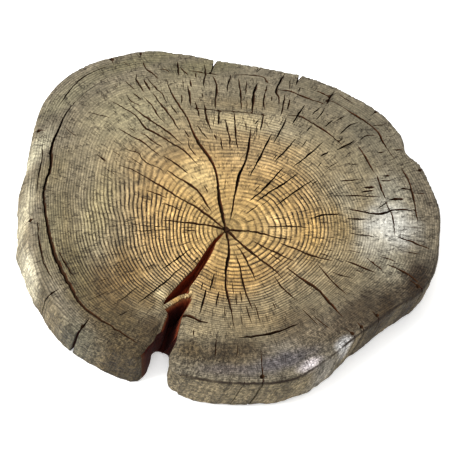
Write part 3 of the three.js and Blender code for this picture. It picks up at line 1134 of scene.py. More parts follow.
        if pit is not None:
            add_line(pit, closed=True)
            add_line(self.split.crest()[2:])
        for check, line in cracks:
            share = np.linspace(0.0, 1.0, len(line))
            side = sideways(np.gradient(line, axis=0))
            half = check.half_width(share)[:, None]
            half[[0, -1]] = 0.0
            for lip in (line + side * half, line, line - side * half):
                add_line(lip)
        grid = self.fill_points(loop, fill, cracks, pit)
        points.extend(grid)
        flat, _, faces, sources, _, _ = delaunay_2d_cdt(
            [Vector(point) for point in points], edges, [], 1, 1e-4, True)
        rim = np.full(len(loop), -1)
        for index, origins in enumerate(sources):
            for origin in origins:
                if origin < len(loop):
                    rim[origin] = index
        plan = np.array([(point[0], point[1]) for point in flat])
        triangles = np.array(faces)
        inside = inside_loop(plan[triangles].mean(1), loop)
        return Sheet(plan, triangles[inside], rim)

    def fill_points(self, loop: np.ndarray, fill: float, cracks: list[tuple[Check, np.ndarray]],
                    pit: np.ndarray | None) -> np.ndarray:
        """Scatters the points between the cracks.

        Args:
            loop: The edge of the face.
            fill: The gap between points.
            cracks: The cracks and their middles.
            pit: The loop of the open split, on the face that has it.

        Returns:
            The points.
        """
        fine = []
        grid = self.hex_grid(loop, fill)
        keep = distance_to_line(grid, close_up(loop))[0] > 0.55 * fill
        if pit is not None:
            fine.append(self.hex_grid(pit, self.pit_fill))
            keep &= ~inside_loop(grid, pit)
            keep &= distance_to_line(grid, close_up(pit))[0] > 0.5 * fill
        for check, line in cracks:
            close = np.all((grid > line.min(0) - 2.5) & (grid < line.max(0) + 2.5), axis=1) & keep
            spots = np.nonzero(close)[0]
            if len(spots):
                keep[spots] = distance_to_line(grid[spots], line)[0] > 0.5 * check.width + 0.42
        return np.concatenate([grid[keep], *fine])

    def hex_grid(self, loop: np.ndarray, gap: float) -> np.ndarray:
        """Lays a slightly uneven honeycomb of points inside a loop.

        Args:
            loop: The loop.
            gap: The gap between points.

        Returns:
            The points inside.
        """
        low, high = loop.min(0), loop.max(0)
        across = np.arange(low[0], high[0], gap)
        rows = np.arange(low[1], high[1], gap * 0.866)
        x, y = np.meshgrid(across, rows)
        x = x + (np.arange(len(rows)) % 2)[:, None] * gap / 2
        grid = np.stack([x.ravel(), y.ravel()], 1)
        grid += np.random.default_rng(self.seed).uniform(-0.22, 0.22, grid.shape) * gap
        inside = inside_loop(grid, loop)
        return grid[inside & (distance_to_line(grid, close_up(loop))[0] > 0.35 * gap)]

    def crack_depth(self, plan: np.ndarray, cracks: list[tuple[Check, np.ndarray]]) -> np.ndarray:
        """Measures how deep the cracks reach at each point.

        Args:
            plan: Plan points.
            cracks: The cracks and their middles.

        Returns:
            The depth of each point below the face.
        """
        drop = np.zeros(len(plan))
        for check, line in cracks:
            low, high = line.min(0) - check.width, line.max(0) + check.width
            spots = np.nonzero(np.all((plan > low) & (plan < high), axis=1))[0]
            if not len(spots):
                continue
            gap, share = distance_to_line(plan[spots], line)
            half = np.maximum(check.half_width(share), 1e-4)
            deep = check.depth * np.clip(2.2 * half / check.width, 0.0, 1.0)
            drop[spots] = np.maximum(drop[spots], deep * np.clip(1 - gap / half, 0.0, 1.0))
        return drop

    def pit_depth(self, plan: np.ndarray) -> np.ndarray:
        """Measures how deep the open split reaches at each point.

        Args:
            plan: Plan points.

        Returns:
            The depth of each point below the face.
        """
        left_gap, _ = distance_to_line(plan, self.left_lip)
        right_gap, _ = distance_to_line(plan, self.right_lip)
        on_arch = distance_to_line(plan, self.arch)[0] < 1e-3
        inside = (inside_loop(plan, self.pit) | on_arch) & (np.minimum(left_gap, right_gap) > 1e-3)
        lower = smoothstep(60.0, 76.0, -plan[:, 1])
        uneven = 1 + 0.25 * grain_noise(plan, 7.0, 4.4)
        left_share = np.clip(left_gap / ((2.4 + 5.0 * lower) * uneven), 0.0, 1.0)
        right_share = np.clip(right_gap / ((1.8 + 0.8 * lower) * uneven), 0.0, 1.0)
        left_shape = left_share * (1 - lower) + (1 - np.sqrt(1 - left_share**2)) * lower
        shape = np.minimum(left_shape, right_share**0.7)
        drop = self.split.depth_at(plan) * shape
        tongue = self.thickness - 1.0 - self.split.tongue_height(plan)
        return np.where(inside, np.minimum(drop, np.maximum(tongue, 0.0)), 0.0)

    def shade_depth(self, plan: np.ndarray, narrow: np.ndarray, wide: np.ndarray) -> np.ndarray:
        """Measures how deep each point lies in the cracks and the split, for the painted shade that
        darkens them.

        Args:
            plan: Plan points.
            narrow: The depth of the checks.
            wide: The depth of the open split.

        Returns:
            0 in the open and on the tongue's crest, growing with depth.
        """
        crest = np.interp(plan[:, 0], (-47, -27), self.split.tongue_rise)
        below_crest = np.maximum(crest - (self.thickness - wide - 1.0), 0.0) * 1.3
        near = distance_to_line(plan, self.split.crest())[0] < 7.0
        in_split = np.where(near, np.minimum(wide, below_crest), wide)
        return np.maximum(narrow * self.check_shade, in_split)

    def face_height(self, plan: np.ndarray, cracks: list[tuple[Check, np.ndarray]]
                    ) -> tuple[np.ndarray, ...]:
        """Shapes the upper face.

        Args:
            plan: Plan points.
            cracks: The cracks and their middles.

        Returns:
            The heights, the depth below the face in cracks and split that sets their painted shade, how
            much each point is rounded off, and how much it lies in a narrow check.
        """
        bearing = np.arctan2(plan[:, 1], plan[:, 0])
        rim_gap, _ = distance_to_line(plan, close_up(self.rim_line))
        size = self.edge_round(bearing) * (1 + 0.18 * grain_noise(plan, 20.0, 9.1))
        near = np.clip(1 - rim_gap / size, 0.0, 1.0)
        rounded = size * 0.82 * (1 - np.sqrt(np.clip(1 - near**2.2, 0.0, 1.0)))
        lips = [self.left_lip, self.right_lip]
        lips += [np.array(self.split.left_mouth), np.array(self.split.right_mouth)]
        lip_gap = np.min([distance_to_line(plan, lip)[0] for lip in lips], axis=0)
        worn = 1.0 + 2.4 * smoothstep(55.0, 105.0, -plan[:, 1])
        lip_near = np.clip(1 - lip_gap / (self.lip_round * worn), 0.0, 1.0)
        radius = np.linalg.norm(plan, axis=1)
        level_face = np.column_stack([plan, np.full(len(plan), self.thickness)])
        years = self.rings.year(level_face, self.thickness)
        relief = 0.45 * grain_noise(plan, 42.0, 0.4) + 0.16 * grain_noise(plan, 7.0, 2.2)
        relief += 0.08 * grain_noise(plan, 2.4, 7.9)
        relief += 0.12 * np.cos(2 * math.pi * years) * smoothstep(60.0, 30.0, radius)
        height = self.thickness - self.headroom + relief * smoothstep(0.0, 6.0, rim_gap + 1.5)
        height -= rounded + self.lip_drop * worn * lip_near**2 + self.plate_step(plan)
        height -= self.heart_dish * smoothstep(30.0, 0.0, radius)
        narrow, wide = self.crack_depth(plan, cracks), self.pit_depth(plan)
        floor = np.maximum(height - np.maximum(narrow, wide), self.least_height)
        edge = np.clip(rounded / np.maximum(size * 0.5, 1e-6), 0.0, 1.0)
        # How far a point lies in a narrow check, which sets the painted shade of the check.
        checked = np.clip(narrow / self.check_dark_depth, 0.0, 1.0)
        return floor, self.shade_depth(plan, narrow, wide), edge, checked

    def wall_points(self, tops: np.ndarray) -> np.ndarray:
        """Shapes the wall under the rim, row by row.

        Args:
            tops: The loop's points with their heights.

        Returns:
            The wall's points, as rows from the top down, each as long as the loop.
        """
        shares = np.linspace(0.0, 1.0, self.wall_rows) ** 0.92
        flare = level_along(self.foot_flare, bearings_of(self.loop))
        rows = []
        for share in shares:
            height = tops[:, 2] * (1 - share)
            place = np.column_stack([self.loop, height])
            stretched = place * np.array([1.0, 1.0, 0.22])
            ribs = 0.55 * grain_noise(stretched, 6.0, 3.3) + 0.35 * grain_noise(stretched, 2.6, 5.8)
            lumps = 0.9 * grain_noise(place, 21.0, 1.2) + 0.3 * grain_noise(place, 4.0, 6.6)
            ease = float(smoothstep(0.0, 0.3, np.array(share)))
            inset = (0.4 - 0.6 * math.sin(math.pi * share) ** 2) * ease - (ribs + lumps) * ease
            inset = inset * (1 - 0.85 * self.inner)
            inset = inset - flare * (1 - height / self.thickness)
            inset = inset + self.foot_inset * smoothstep(2.2, 0.0, height) * (1 - 0.7 * self.inner)
            plan = self.loop - self.outward * inset[:, None]
            plan[:, 0] += self.split.foot_push(plan) * (1 - height / self.thickness)
            rows.append(np.column_stack([plan, height]))
        return np.array(rows)

    def build(self) -> bpy.types.Object:
        """Builds the closed mesh with its attributes and its map.

        Returns:
            The new object, in log space and not yet placed.
        """
        fine = tuple(Check(course, width) for course, width in FINE_CHECKS)
        named = MAIN_CHECKS + RING_SHAKES + fine
        candidates = [(check, check.centre()) for check in self.checks(CHECK_SWARMS, named)]
        cracks = [(check, line) for check, line in candidates
                  if self.clear_of_edges(line, self.loop, 1.0, check.open_start)]
        cracks += [(check, check.centre()) for check in self.gap_runs]
        LOG.info("upper face: %d cracks of %d drawn", len(cracks), len(candidates) + len(self.gap_runs))
        upper = self.triangulate(self.loop, self.fill, cracks, self.pit)
        height, depth, rounded, narrow = self.face_height(upper.plan, cracks)
        tops = np.column_stack([upper.plan[upper.rim], height[upper.rim]])
        wall = self.wall_points(tops)
        foot_loop = wall[-1, :, :2]
        under_checks = [(check, check.centre()) for check in self.checks(UNDERSIDE_SWARMS, ())]
        under_cracks = [(check, line) for check, line in under_checks
                        if self.clear_of_edges(line, foot_loop, 2.0, False)]
        under = self.triangulate(foot_loop, self.under_fill, under_cracks, None)
        under_height = 0.7 * self.crack_depth(under.plan, under_cracks)
        return self.join(upper, height, depth, rounded, narrow, wall, under, under_height)

    def join(self, upper: Sheet, height: np.ndarray, depth: np.ndarray, rounded: np.ndarray,
             narrow: np.ndarray, wall: np.ndarray, under: Sheet, under_height: np.ndarray
             ) -> bpy.types.Object:
        """Joins the two end faces and the wall into one mesh.

        Args:
            upper: The upper face.
            height: Its heights.
            depth: How deep its points lie in cracks.
            rounded: How much its points are rounded off.
            narrow: How much its points lie in narrow checks.
            wall: The wall's rows of points.
            under: The underside.
            under_height: Its heights.

        Returns:
            The joined object.
        """
        count, columns = len(upper.plan), len(self.loop)
        middle_rows = wall[1:-1].reshape(-1, 3)
        under_start = count + len(middle_rows)
        place = np.concatenate([
            np.column_stack([upper.plan, height]), middle_rows,
            np.column_stack([under.plan, under_height])])
        rows = [upper.rim]
        rows += [count + row * columns + np.arange(columns) for row in range(len(wall) - 2)]
        rows += [under_start + under.rim]
        quads = []
        for top_row, low_row in zip(rows, rows[1:]):
            top_next, low_next = np.roll(top_row, -1), np.roll(low_row, -1)
            quads.append(np.stack([top_row, low_row, low_next, top_next], 1))
        quads = np.concatenate(quads)
        flipped = under.faces[:, ::-1] + under_start
        faces = [*map(tuple, upper.faces), *map(tuple, quads), *map(tuple, flipped)]
        mesh = bpy.data.meshes.new("weathered_slice")
        mesh.from_pydata([tuple(point) for point in place], [], faces)
        inner_wall = np.tile(self.inner, len(wall) - 2)
        side = np.concatenate([rounded, np.ones(len(middle_rows)), np.zeros(len(under.plan))])
        deep = np.concatenate([depth, np.zeros(len(middle_rows)), under_height])
        # The split's mouth and the rim's gaps are marked so that the split finish fills them with painted
        # shade.
        mouth = smoothstep(57.0, 66.0, -upper.plan[:, 1]) * smoothstep(1.0, 5.0, depth)
        inside = np.concatenate([mouth, inner_wall, np.zeros(len(under.plan))])
        inside[upper.rim] = self.inner
        checked = np.concatenate([narrow, np.zeros(len(middle_rows)), np.clip(under_height, 0.0, 1.0)])
        self.paint(mesh, place, side, deep, inside, checked)
        self.sort_surfaces(mesh, len(upper.faces), len(quads), depth, upper)
        self.lay_out_map(mesh, place, len(upper.faces), len(quads))
        mesh.polygons.foreach_set("use_smooth", np.ones(len(mesh.polygons), dtype=bool))
        mesh.set_sharp_from_angle(angle=math.radians(self.sharp_angle))
        piece = bpy.data.objects.new("weathered_slice", mesh)
        bpy.context.scene.collection.objects.link(piece)
        return piece

    def paint(self, mesh: bpy.types.Mesh, place: np.ndarray, side: np.ndarray, deep: np.ndarray,
              inside: np.ndarray, checked: np.ndarray) -> None:
        """Stores what the finishes read at each point.

        Args:
            mesh: The slice's mesh.
            place: Points in log space.
            side: How much each point belongs to the bark side.
            deep: How deep each point lies in a crack.
            inside: How much each point lies in a gap of the rim or in the mouth of the split.
            checked: How much each point lies in a narrow check.
        """
        years = self.rings.year(place, self.thickness)
        share = np.clip(np.linalg.norm(place[:, :2], axis=1)
                        / self.outline.radius_at(np.arctan2(place[:, 1], place[:, 0])), 0.0, 1.2)
        tints = self.weathering.tints(place, share, side)
        marks = self.weathering.levels(place, 0.5 - 0.2 * side, self.weathering.ring_marks)
        grit = self.weathering.levels(place, 0.2 + 0.3 * share + 0.35 * side, self.weathering.grit_marks)
        for name, kind, values in (
            ("year", "FLOAT", years),
            ("bark_side", "FLOAT", side),
            ("crack_depth", "FLOAT", deep),
            ("in_gap", "FLOAT", inside),
            ("in_check", "FLOAT", checked),
            ("ring_marks", "FLOAT", marks),
            ("grit", "FLOAT", grit),
            ("edge_line", "FLOAT", self.edge_line(place)),
            ("log_place", "FLOAT_VECTOR", place),
            ("tint", "FLOAT_COLOR", np.column_stack([tints, np.ones(len(tints))])),
        ):
            layer = mesh.attributes.new(name, kind, "POINT")
            target = {"FLOAT": "value", "FLOAT_VECTOR": "vector", "FLOAT_COLOR": "color"}[kind]
            layer.data.foreach_set(target, np.ascontiguousarray(values, dtype=np.float32).ravel())

    def sort_surfaces(self, mesh: bpy.types.Mesh, upper_count: int, wall_count: int, depth: np.ndarray,
                      upper: Sheet) -> None:
        """Gives each face its kind of surface.

        Args:
            mesh: The slice's mesh.
            upper_count: How many faces the upper face has.
            wall_count: How many faces the wall has.
            depth: How deep the upper face's points lie in cracks.
            upper: The upper face.
        """
        kinds = np.full(len(mesh.polygons), Surface.WEATHERED.value, dtype=np.int32)
        kinds[:upper_count][depth[upper.faces].mean(1) > self.split_from] = Surface.SPLIT.value
        columns = len(self.loop)
        both = np.minimum(self.inner, np.roll(self.inner, -1)) > self.gap_from
        kinds[upper_count:upper_count + wall_count] = np.where(
            np.tile(both, wall_count // columns), Surface.SPLIT.value, Surface.WEATHERED.value)
        kinds[upper_count + wall_count:] = Surface.UNDERSIDE.value
        mesh.polygons.foreach_set("material_index", kinds)

    def lay_out_map(self, mesh: bpy.types.Mesh, place: np.ndarray, upper_count: int, wall_count: int
                    ) -> None:
        """Lays the surface out flat: the upper face large, the wall in four strips, the underside small.

        Args:
            mesh: The slice's mesh.
            place: Points in log space.
            upper_count: How many faces the upper face has.
            wall_count: How many faces the wall has.
        """
        corners = np.empty(len(mesh.loops), dtype=np.int64)
        mesh.loops.foreach_get("vertex_index", corners)
        spot = place[corners, :2]
        low, high = self.rim_line.min(0) - 2.0, self.rim_line.max(0) + 2.0
        whole = (high - low).max()
        flat = (spot - low) / whole
        coordinates = flat * 0.7 + np.array([0.005, 0.005])
        upper_end, wall_end = upper_count * 3, upper_count * 3 + wall_count * 4
        coordinates[wall_end:] = flat[wall_end:] * 0.28 + np.array([0.715, 0.005])
        columns, strips = len(self.loop), 4
        face = np.arange(wall_count)
        row, column = face // columns, face % columns
        step = np.linalg.norm(np.roll(self.loop, -1, axis=0) - self.loop, axis=1)
        run = np.concatenate([[0.0], np.cumsum(step)])
        strip_length = run[-1] / strips
        strip = np.minimum((run[column] / strip_length).astype(int), strips - 1)
        start = np.array([run[np.searchsorted(run, index * strip_length)] for index in range(strips)])
        left = (run[column] - start[strip]) / (strip_length * 1.02)
        right = (run[column + 1] - start[strip]) / (strip_length * 1.02)
        band = 0.065
        bottom = 0.725 + strip * (band + 0.003)
        tall = band / (self.wall_rows - 1)
        top_edge = bottom + band - row * tall
        low_edge = top_edge - tall
        wall_map = np.stack([
            np.stack([left, top_edge], 1), np.stack([left, low_edge], 1),
            np.stack([right, low_edge], 1), np.stack([right, top_edge], 1)], 1)
        coordinates[upper_end:wall_end] = wall_map.reshape(-1, 2) * np.array([0.99, 1.0])
        layer = mesh.uv_layers.new(name="OFBake")
        layer.data.foreach_set("uv", np.ascontiguousarray(coordinates, dtype=np.float32).ravel())

    def set_down(self, piece: bpy.types.Object) -> Vector:
        """Leans the slice with its grain and moves it to where the frame holds it.

        Args:
            piece: The slice in log space.

        Returns:
            The pith's place on the upper face, in metres.
        """
        mesh = piece.data
        place = np.empty(len(mesh.vertices) * 3)
        mesh.vertices.foreach_get("co", place)
        place = place.reshape(-1, 3)
        place[:, 0] += self.lean * (1 - place[:, 2] / self.thickness)
        low, high = (np.array(corner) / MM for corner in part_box(NODE))
        rim = self.rim_line
        span_low = np.array([min(rim[:, 0].min(), rim[:, 0].min() + self.lean), rim[:, 1].min()])
        span_high = rim.max(0)
        shift = (low[:2] + high[:2]) / 2 - (span_low + span_high) / 2
        place[:, :2] += shift
        place[:, 2] += low[2]
        mesh.vertices.foreach_set("co", (place * MM).ravel())
        mesh.update()
        return Vector((shift[0] * MM, shift[1] * MM, high[2] * MM))


class NodeBench:
    """Adds and joins nodes in one shader tree."""

    def __init__(self, tree: bpy.types.NodeTree) -> None:
        """Keeps the tree that the nodes go in.

        Args:
            tree: The tree.
        """
        self.tree = tree

    def feed(self, socket: bpy.types.NodeSocket, value: Value) -> None:
        """Links a socket to another, or sets its value.

        Args:
            socket: The socket to feed.
            value: An output socket, or the number or colour to set.
        """
        if isinstance(value, bpy.types.NodeSocket):
            self.tree.links.new(value, socket)
        elif value is not None:
            socket.default_value = value

    def add(self, kind: str, values: dict[str, Value] | None = None, **settings: Value) -> bpy.types.Node:
        """Adds a node.

        Args:
            kind: The node's type.
            values: What feeds its inputs, by name.
            **settings: The node's own settings.

        Returns:
            The node.
        """
        node = self.tree.nodes.new(kind)
        for name, setting in settings.items():
            setattr(node, name, setting)
        for name, value in (values or {}).items():
            self.feed(node.inputs[name], value)
        return node

    def math(self, operation: str, *values: Value, clamp: bool = False) -> bpy.types.NodeSocket:
        """Adds a sum of one, two or three values.

        Args:
            operation: The Math node's operation.
            *values: What it works on.
            clamp: Whether the result stays within 0 and 1.

        Returns:
            The result.
        """
        node = self.add("ShaderNodeMath", operation=operation, use_clamp=clamp)
        for socket, value in zip(node.inputs, values):
            self.feed(socket, value)
        return node.outputs[0]

    def vector(self, operation: str, *values: Value) -> bpy.types.Node:
        """Adds a vector sum.

        Args:
            operation: The Vector Math node's operation.
            *values: What it works on.

        Returns:
            The node, whose outputs are Vector and Value.
        """
        node = self.add("ShaderNodeVectorMath", operation=operation)
        for socket, value in zip(node.inputs, values):
            self.feed(socket, value)
        return node

    def ramp(self, value: Value, low: float, high: float, start: float = 0.0, end: float = 1.0
             ) -> bpy.types.NodeSocket:
        """Eases a value from one range to another.

        Args:
            value: The value.
            low: Where the ramp starts.
            high: Where the ramp ends.
            start: The result at low.
            end: The result at high.

        Returns:
            The eased value.
        """
        node = self.add("ShaderNodeMapRange", interpolation_type="SMOOTHSTEP")
        for name, number in (("From Min", low), ("From Max", high), ("To Min", start), ("To Max", end)):
            node.inputs[name].default_value = number
        self.feed(node.inputs["Value"], value)
        return node.outputs["Result"]

    def blend(self, share: Value, first: Value, second: Value, mode: str = "MIX") -> bpy.types.NodeSocket:
        """Mixes two colours.

        Args:
            share: How much of the second colour shows.
            first: The first colour.
            second: The second colour.
            mode: How they are mixed.

        Returns:
            The mixed colour.
        """
        node = self.add("ShaderNodeMix", data_type="RGBA", blend_type=mode)
        self.feed(node.inputs[0], share)
        self.feed(node.inputs[6], first)
        self.feed(node.inputs[7], second)
        return node.outputs[2]

    def cloud(self, place: Value, scale: float, detail: float = 3.0, rough: float = 0.5
              ) -> bpy.types.NodeSocket:
        """Adds cloudy noise.

        Args:
            place: Where it is read.
            scale: How small its lumps are.
            detail: How many finer layers it has.
            rough: How strong the finer layers are.

        Returns:
            The noise, about 0 to 1.
        """
        node = self.add("ShaderNodeTexNoise", {"Vector": place})
        node.inputs["Scale"].default_value = scale
        node.inputs["Detail"].default_value = detail
        node.inputs["Roughness"].default_value = rough
        return node.outputs[0]

    def product(self, first: Value, *others: Value) -> bpy.types.NodeSocket:
        """Multiplies values from left to right.

        Args:
            first: The first value.
            *others: The values that follow.

        Returns:
            Their product.
        """
        result = first
        for value in others:
            result = self.math("MULTIPLY", result, value)
        return result

    def shade(self, colour: Value, tone: Value) -> bpy.types.NodeSocket:
        """Makes a colour lighter or darker.

        Args:
            colour: The colour.
            tone: How light it becomes, with 1 for no change.

        Returns:
            The shaded colour.
        """
        grey = self.add("ShaderNodeCombineColor")
        for socket in grey.inputs[:3]:
            self.feed(socket, tone)
        return self.blend(1.0, colour, grey.outputs[0], "MULTIPLY")

    def emboss(self, shader: bpy.types.Node, height: Value, strength: float, distance: float) -> None:
        """Bumps the surface of a shader.

        Args:
            shader: The shader.
            height: The height of the bumps.
            strength: How strongly they show.
            distance: How tall a height of 1 stands, in metres.
        """
        bump = self.add("ShaderNodeBump", {"Height": height})
        bump.inputs["Strength"].default_value = strength
        bump.inputs["Distance"].default_value = distance
        self.feed(shader.inputs["Normal"], bump.outputs["Normal"])

    def read(self, name: str, output: str = "Fac") -> bpy.types.NodeSocket:
        """Reads what the mesh holds at each point.

        Args:
            name: The attribute's name.
            output: Which of the node's outputs is read.

        Returns:
            The attribute.
        """
        node = self.add("ShaderNodeAttribute", attribute_name=name)
        return node.outputs[output]


class EffectGroup:
    """A wood effect that several finishes share, as a node group."""

    def __init__(self, name: str, inputs: tuple[tuple[str, str, float], ...], outputs: tuple[str, ...]
                 ) -> None:
        """Makes the empty group.

        Args:
            name: The group's name.
            inputs: Each input's name, socket type and value.
            outputs: Each output's name.
        """
        self.tree = bpy.data.node_groups.new(name, "ShaderNodeTree")
        for label, kind, value in inputs:
            socket = self.tree.interface.new_socket(label, in_out="INPUT", socket_type=kind)
            if kind == "NodeSocketFloat":
                socket.default_value = value
        for label in outputs:
            self.tree.interface.new_socket(label, in_out="OUTPUT", socket_type="NodeSocketFloat")
        self.bench = NodeBench(self.tree)
        self.entry = self.bench.add("NodeGroupInput")
        self.exit = self.bench.add("NodeGroupOutput")

    def give(self, **values: Value) -> None:
        """Feeds the group's outputs.

        Args:
            **values: What feeds each output, by name, with _ for a space.
        """
        for label, value in values.items():
            self.bench.feed(self.exit.inputs[label.replace("_", " ")], value)

    def place_in(self, bench: NodeBench, **values: Value) -> bpy.types.Node:
        """Places the group in a finish.

        Args:
            bench: The finish's bench.
            **values: What feeds the inputs, with _ for a space.

        Returns:
            The group node.
        """
        node = bench.add("ShaderNodeGroup", node_tree=self.tree)
        for label, value in values.items():
            bench.feed(node.inputs[label.replace("_", " ")], value)
        return node


def build_growth_rings() -> EffectGroup:
    """Builds the growth rings: pale early wood, a dark late edge, and a tone for each year.

    Returns:
        The group, with outputs Late, Early, Streaks, Tone and Height.
    """
    group = EffectGroup("growth_rings", (
        ("Place", "NodeSocketVector", 0.0), ("Year", "NodeSocketFloat", 0.0),
        ("Waver", "NodeSocketFloat", 0.1), ("Line", "NodeSocketFloat", 0.2),
    ), ("Late", "Early", "Streaks", "Tone", "Height"))
    bench, entry = group.bench, group.entry.outputs
    sway = bench.math("SUBTRACT", bench.cloud(entry["Place"], 0.07, 3.0, 0.55), 0.5)
    year = bench.math("ADD", entry["Year"], bench.math("MULTIPLY", sway, entry["Waver"]))
    part = bench.math("FRACT", year)
    start = bench.math("SUBTRACT", 0.92, entry["Line"])
    rise = bench.math("DIVIDE", bench.math("SUBTRACT", part, start),
                      bench.math("MULTIPLY", entry["Line"], 0.42), clamp=True)
    fall = bench.ramp(part, 0.9, 1.0, 1.0, 0.0)
    broken = bench.ramp(bench.cloud(entry["Place"], 0.09, 4.0, 0.65), 0.34, 0.56, 0.25, 1.0)
    late = bench.math("MULTIPLY", bench.math("MULTIPLY", bench.math("POWER", rise, 1.4), fall), broken)
    early = bench.math("MULTIPLY", bench.ramp(part, 0.02, 0.2), bench.ramp(part, 0.3, 0.6, 1.0, 0.0))
    chance = bench.add("ShaderNodeTexWhiteNoise", noise_dimensions="1D")
    bench.feed(chance.inputs["W"], bench.math("FLOOR", year))
    flat = bench.vector("MULTIPLY", entry["Place"], (0.055, 0.055, 0.0)).outputs["Vector"]
    lift = bench.add("ShaderNodeCombineXYZ", {"Z": bench.math("MULTIPLY", year, 1.15)})
    along = bench.vector("ADD", flat, lift.outputs[0]).outputs["Vector"]
    streaks = bench.ramp(bench.cloud(along, 1.0, 3.0, 0.7), 0.36, 0.64)
    group.give(Late=late, Early=early, Streaks=streaks, Tone=chance.outputs["Value"],
               Height=bench.math("SUBTRACT", bench.math("MULTIPLY", early, 0.6), late))
    return group


def build_rays() -> EffectGroup:
    """Builds what runs outwards from the pith: soft rays and hairline checks.

    Returns:
        The group, with outputs Rays and Hairlines.
    """
    group = EffectGroup("pith_rays", (
        ("Place", "NodeSocketVector", 0.0), ("Crowd", "NodeSocketFloat", 26.0),
        ("Opening", "NodeSocketFloat", 0.012),
    ), ("Rays", "Hairlines"))
    bench, entry = group.bench, group.entry.outputs
    flat = bench.vector("MULTIPLY", entry["Place"], (1.0, 1.0, 0.0)).outputs["Vector"]
    bearing = bench.vector("NORMALIZE", flat).outputs["Vector"]
    radius = bench.vector("LENGTH", flat).outputs["Value"]

    def outward(crowd: Value, stretch: float) -> bpy.types.NodeSocket:
        """Stretches the plan along the radius.

        Args:
            crowd: How many rays there are.
            stretch: How soon they end.

        Returns:
            The place to read the noise at.
        """
        turn = bench.vector("SCALE", bearing)
        bench.feed(turn.inputs["Scale"], crowd)
        lift = bench.add("ShaderNodeCombineXYZ", {"Z": bench.math("MULTIPLY", radius, stretch)})
        return bench.vector("ADD", turn.outputs["Vector"], lift.outputs[0]).outputs["Vector"]

    rays = bench.cloud(outward(110.0, 0.09), 1.0, 4.0, 0.65)
    line = bench.cloud(outward(entry["Crowd"], 0.07), 1.0, 4.0, 0.6)
    off = bench.math("ABSOLUTE", bench.math("SUBTRACT", line, 0.5))
    thin = bench.math("SUBTRACT", 1.0, bench.math("DIVIDE", off, entry["Opening"], clamp=True))
    some = bench.ramp(bench.cloud(outward(18.0, 0.1), 1.0, 2.0), 0.46, 0.54)
    group.give(Rays=rays, Hairlines=bench.math("MULTIPLY", thin, some))
    return group


def build_mottle() -> EffectGroup:
    """Builds the weather's marks, broad blotches, grime and gritty speckle, and the fibres down the log.

    Returns:
        The group, with outputs Blotch, Grime, Speckle, Fibres and Strands.
    """
    group = EffectGroup("weather_mottle", (
        ("Place", "NodeSocketVector", 0.0), ("Blotch Scale", "NodeSocketFloat", 0.05),
    ), ("Blotch", "Grime", "Speckle", "Fibres", "Strands"))
    bench, entry = group.bench, group.entry.outputs
    blotch = bench.add("ShaderNodeTexNoise", {"Vector": entry["Place"], "Scale": entry["Blotch Scale"]})
    blotch.inputs["Detail"].default_value = 5.0
    blotch.inputs["Roughness"].default_value = 0.6
    grime = bench.cloud(entry["Place"], 0.32, 5.0, 0.7)
    speckle = bench.cloud(entry["Place"], 0.5, 3.0, 0.8)
    down = bench.vector("MULTIPLY", entry["Place"], (1.0, 1.0, 0.06)).outputs["Vector"]
    group.give(Blotch=blotch.outputs[0], Grime=grime, Speckle=bench.ramp(speckle, 0.38, 0.62),
               Fibres=bench.cloud(down, 0.9, 5.0, 0.65), Strands=bench.cloud(down, 0.22, 4.0, 0.68))
    return group


@dataclass(frozen=True)
class Effects:
    """The shared wood effects."""

    rings: EffectGroup
    rays: EffectGroup
    mottle: EffectGroup


@dataclass(frozen=True)
class WoodParts:
    """What the weathered finish reads: the mesh's values and the outputs of the shared effects."""

    year: bpy.types.NodeSocket
    tint: bpy.types.NodeSocket
    side: bpy.types.NodeSocket
    marks: bpy.types.NodeSocket
    rings: bpy.types.NodeOutputs
    rays: bpy.types.NodeOutputs
    mottle: bpy.types.NodeOutputs
    strands: bpy.types.NodeSocket
    gritty: bpy.types.NodeSocket


def solid(tint: str) -> tuple[float, ...]:
    """Turns a written tint into an opaque linear colour.

    Args:
        tint: Six hexadecimal digits.

    Returns:
        Red, green, blue and 1.
    """
    return (*linear(tint), 1.0)


def start_material(name: str) -> tuple[bpy.types.Material, bpy.types.Node]:
    """Makes a material that holds only its shader.

    Args:
        name: The material's name.

    Returns:
        The material and its shader.
    """
    material = bpy.data.materials.new(name)
    material.use_nodes = True
    return material, material.node_tree.nodes["Principled BSDF"]


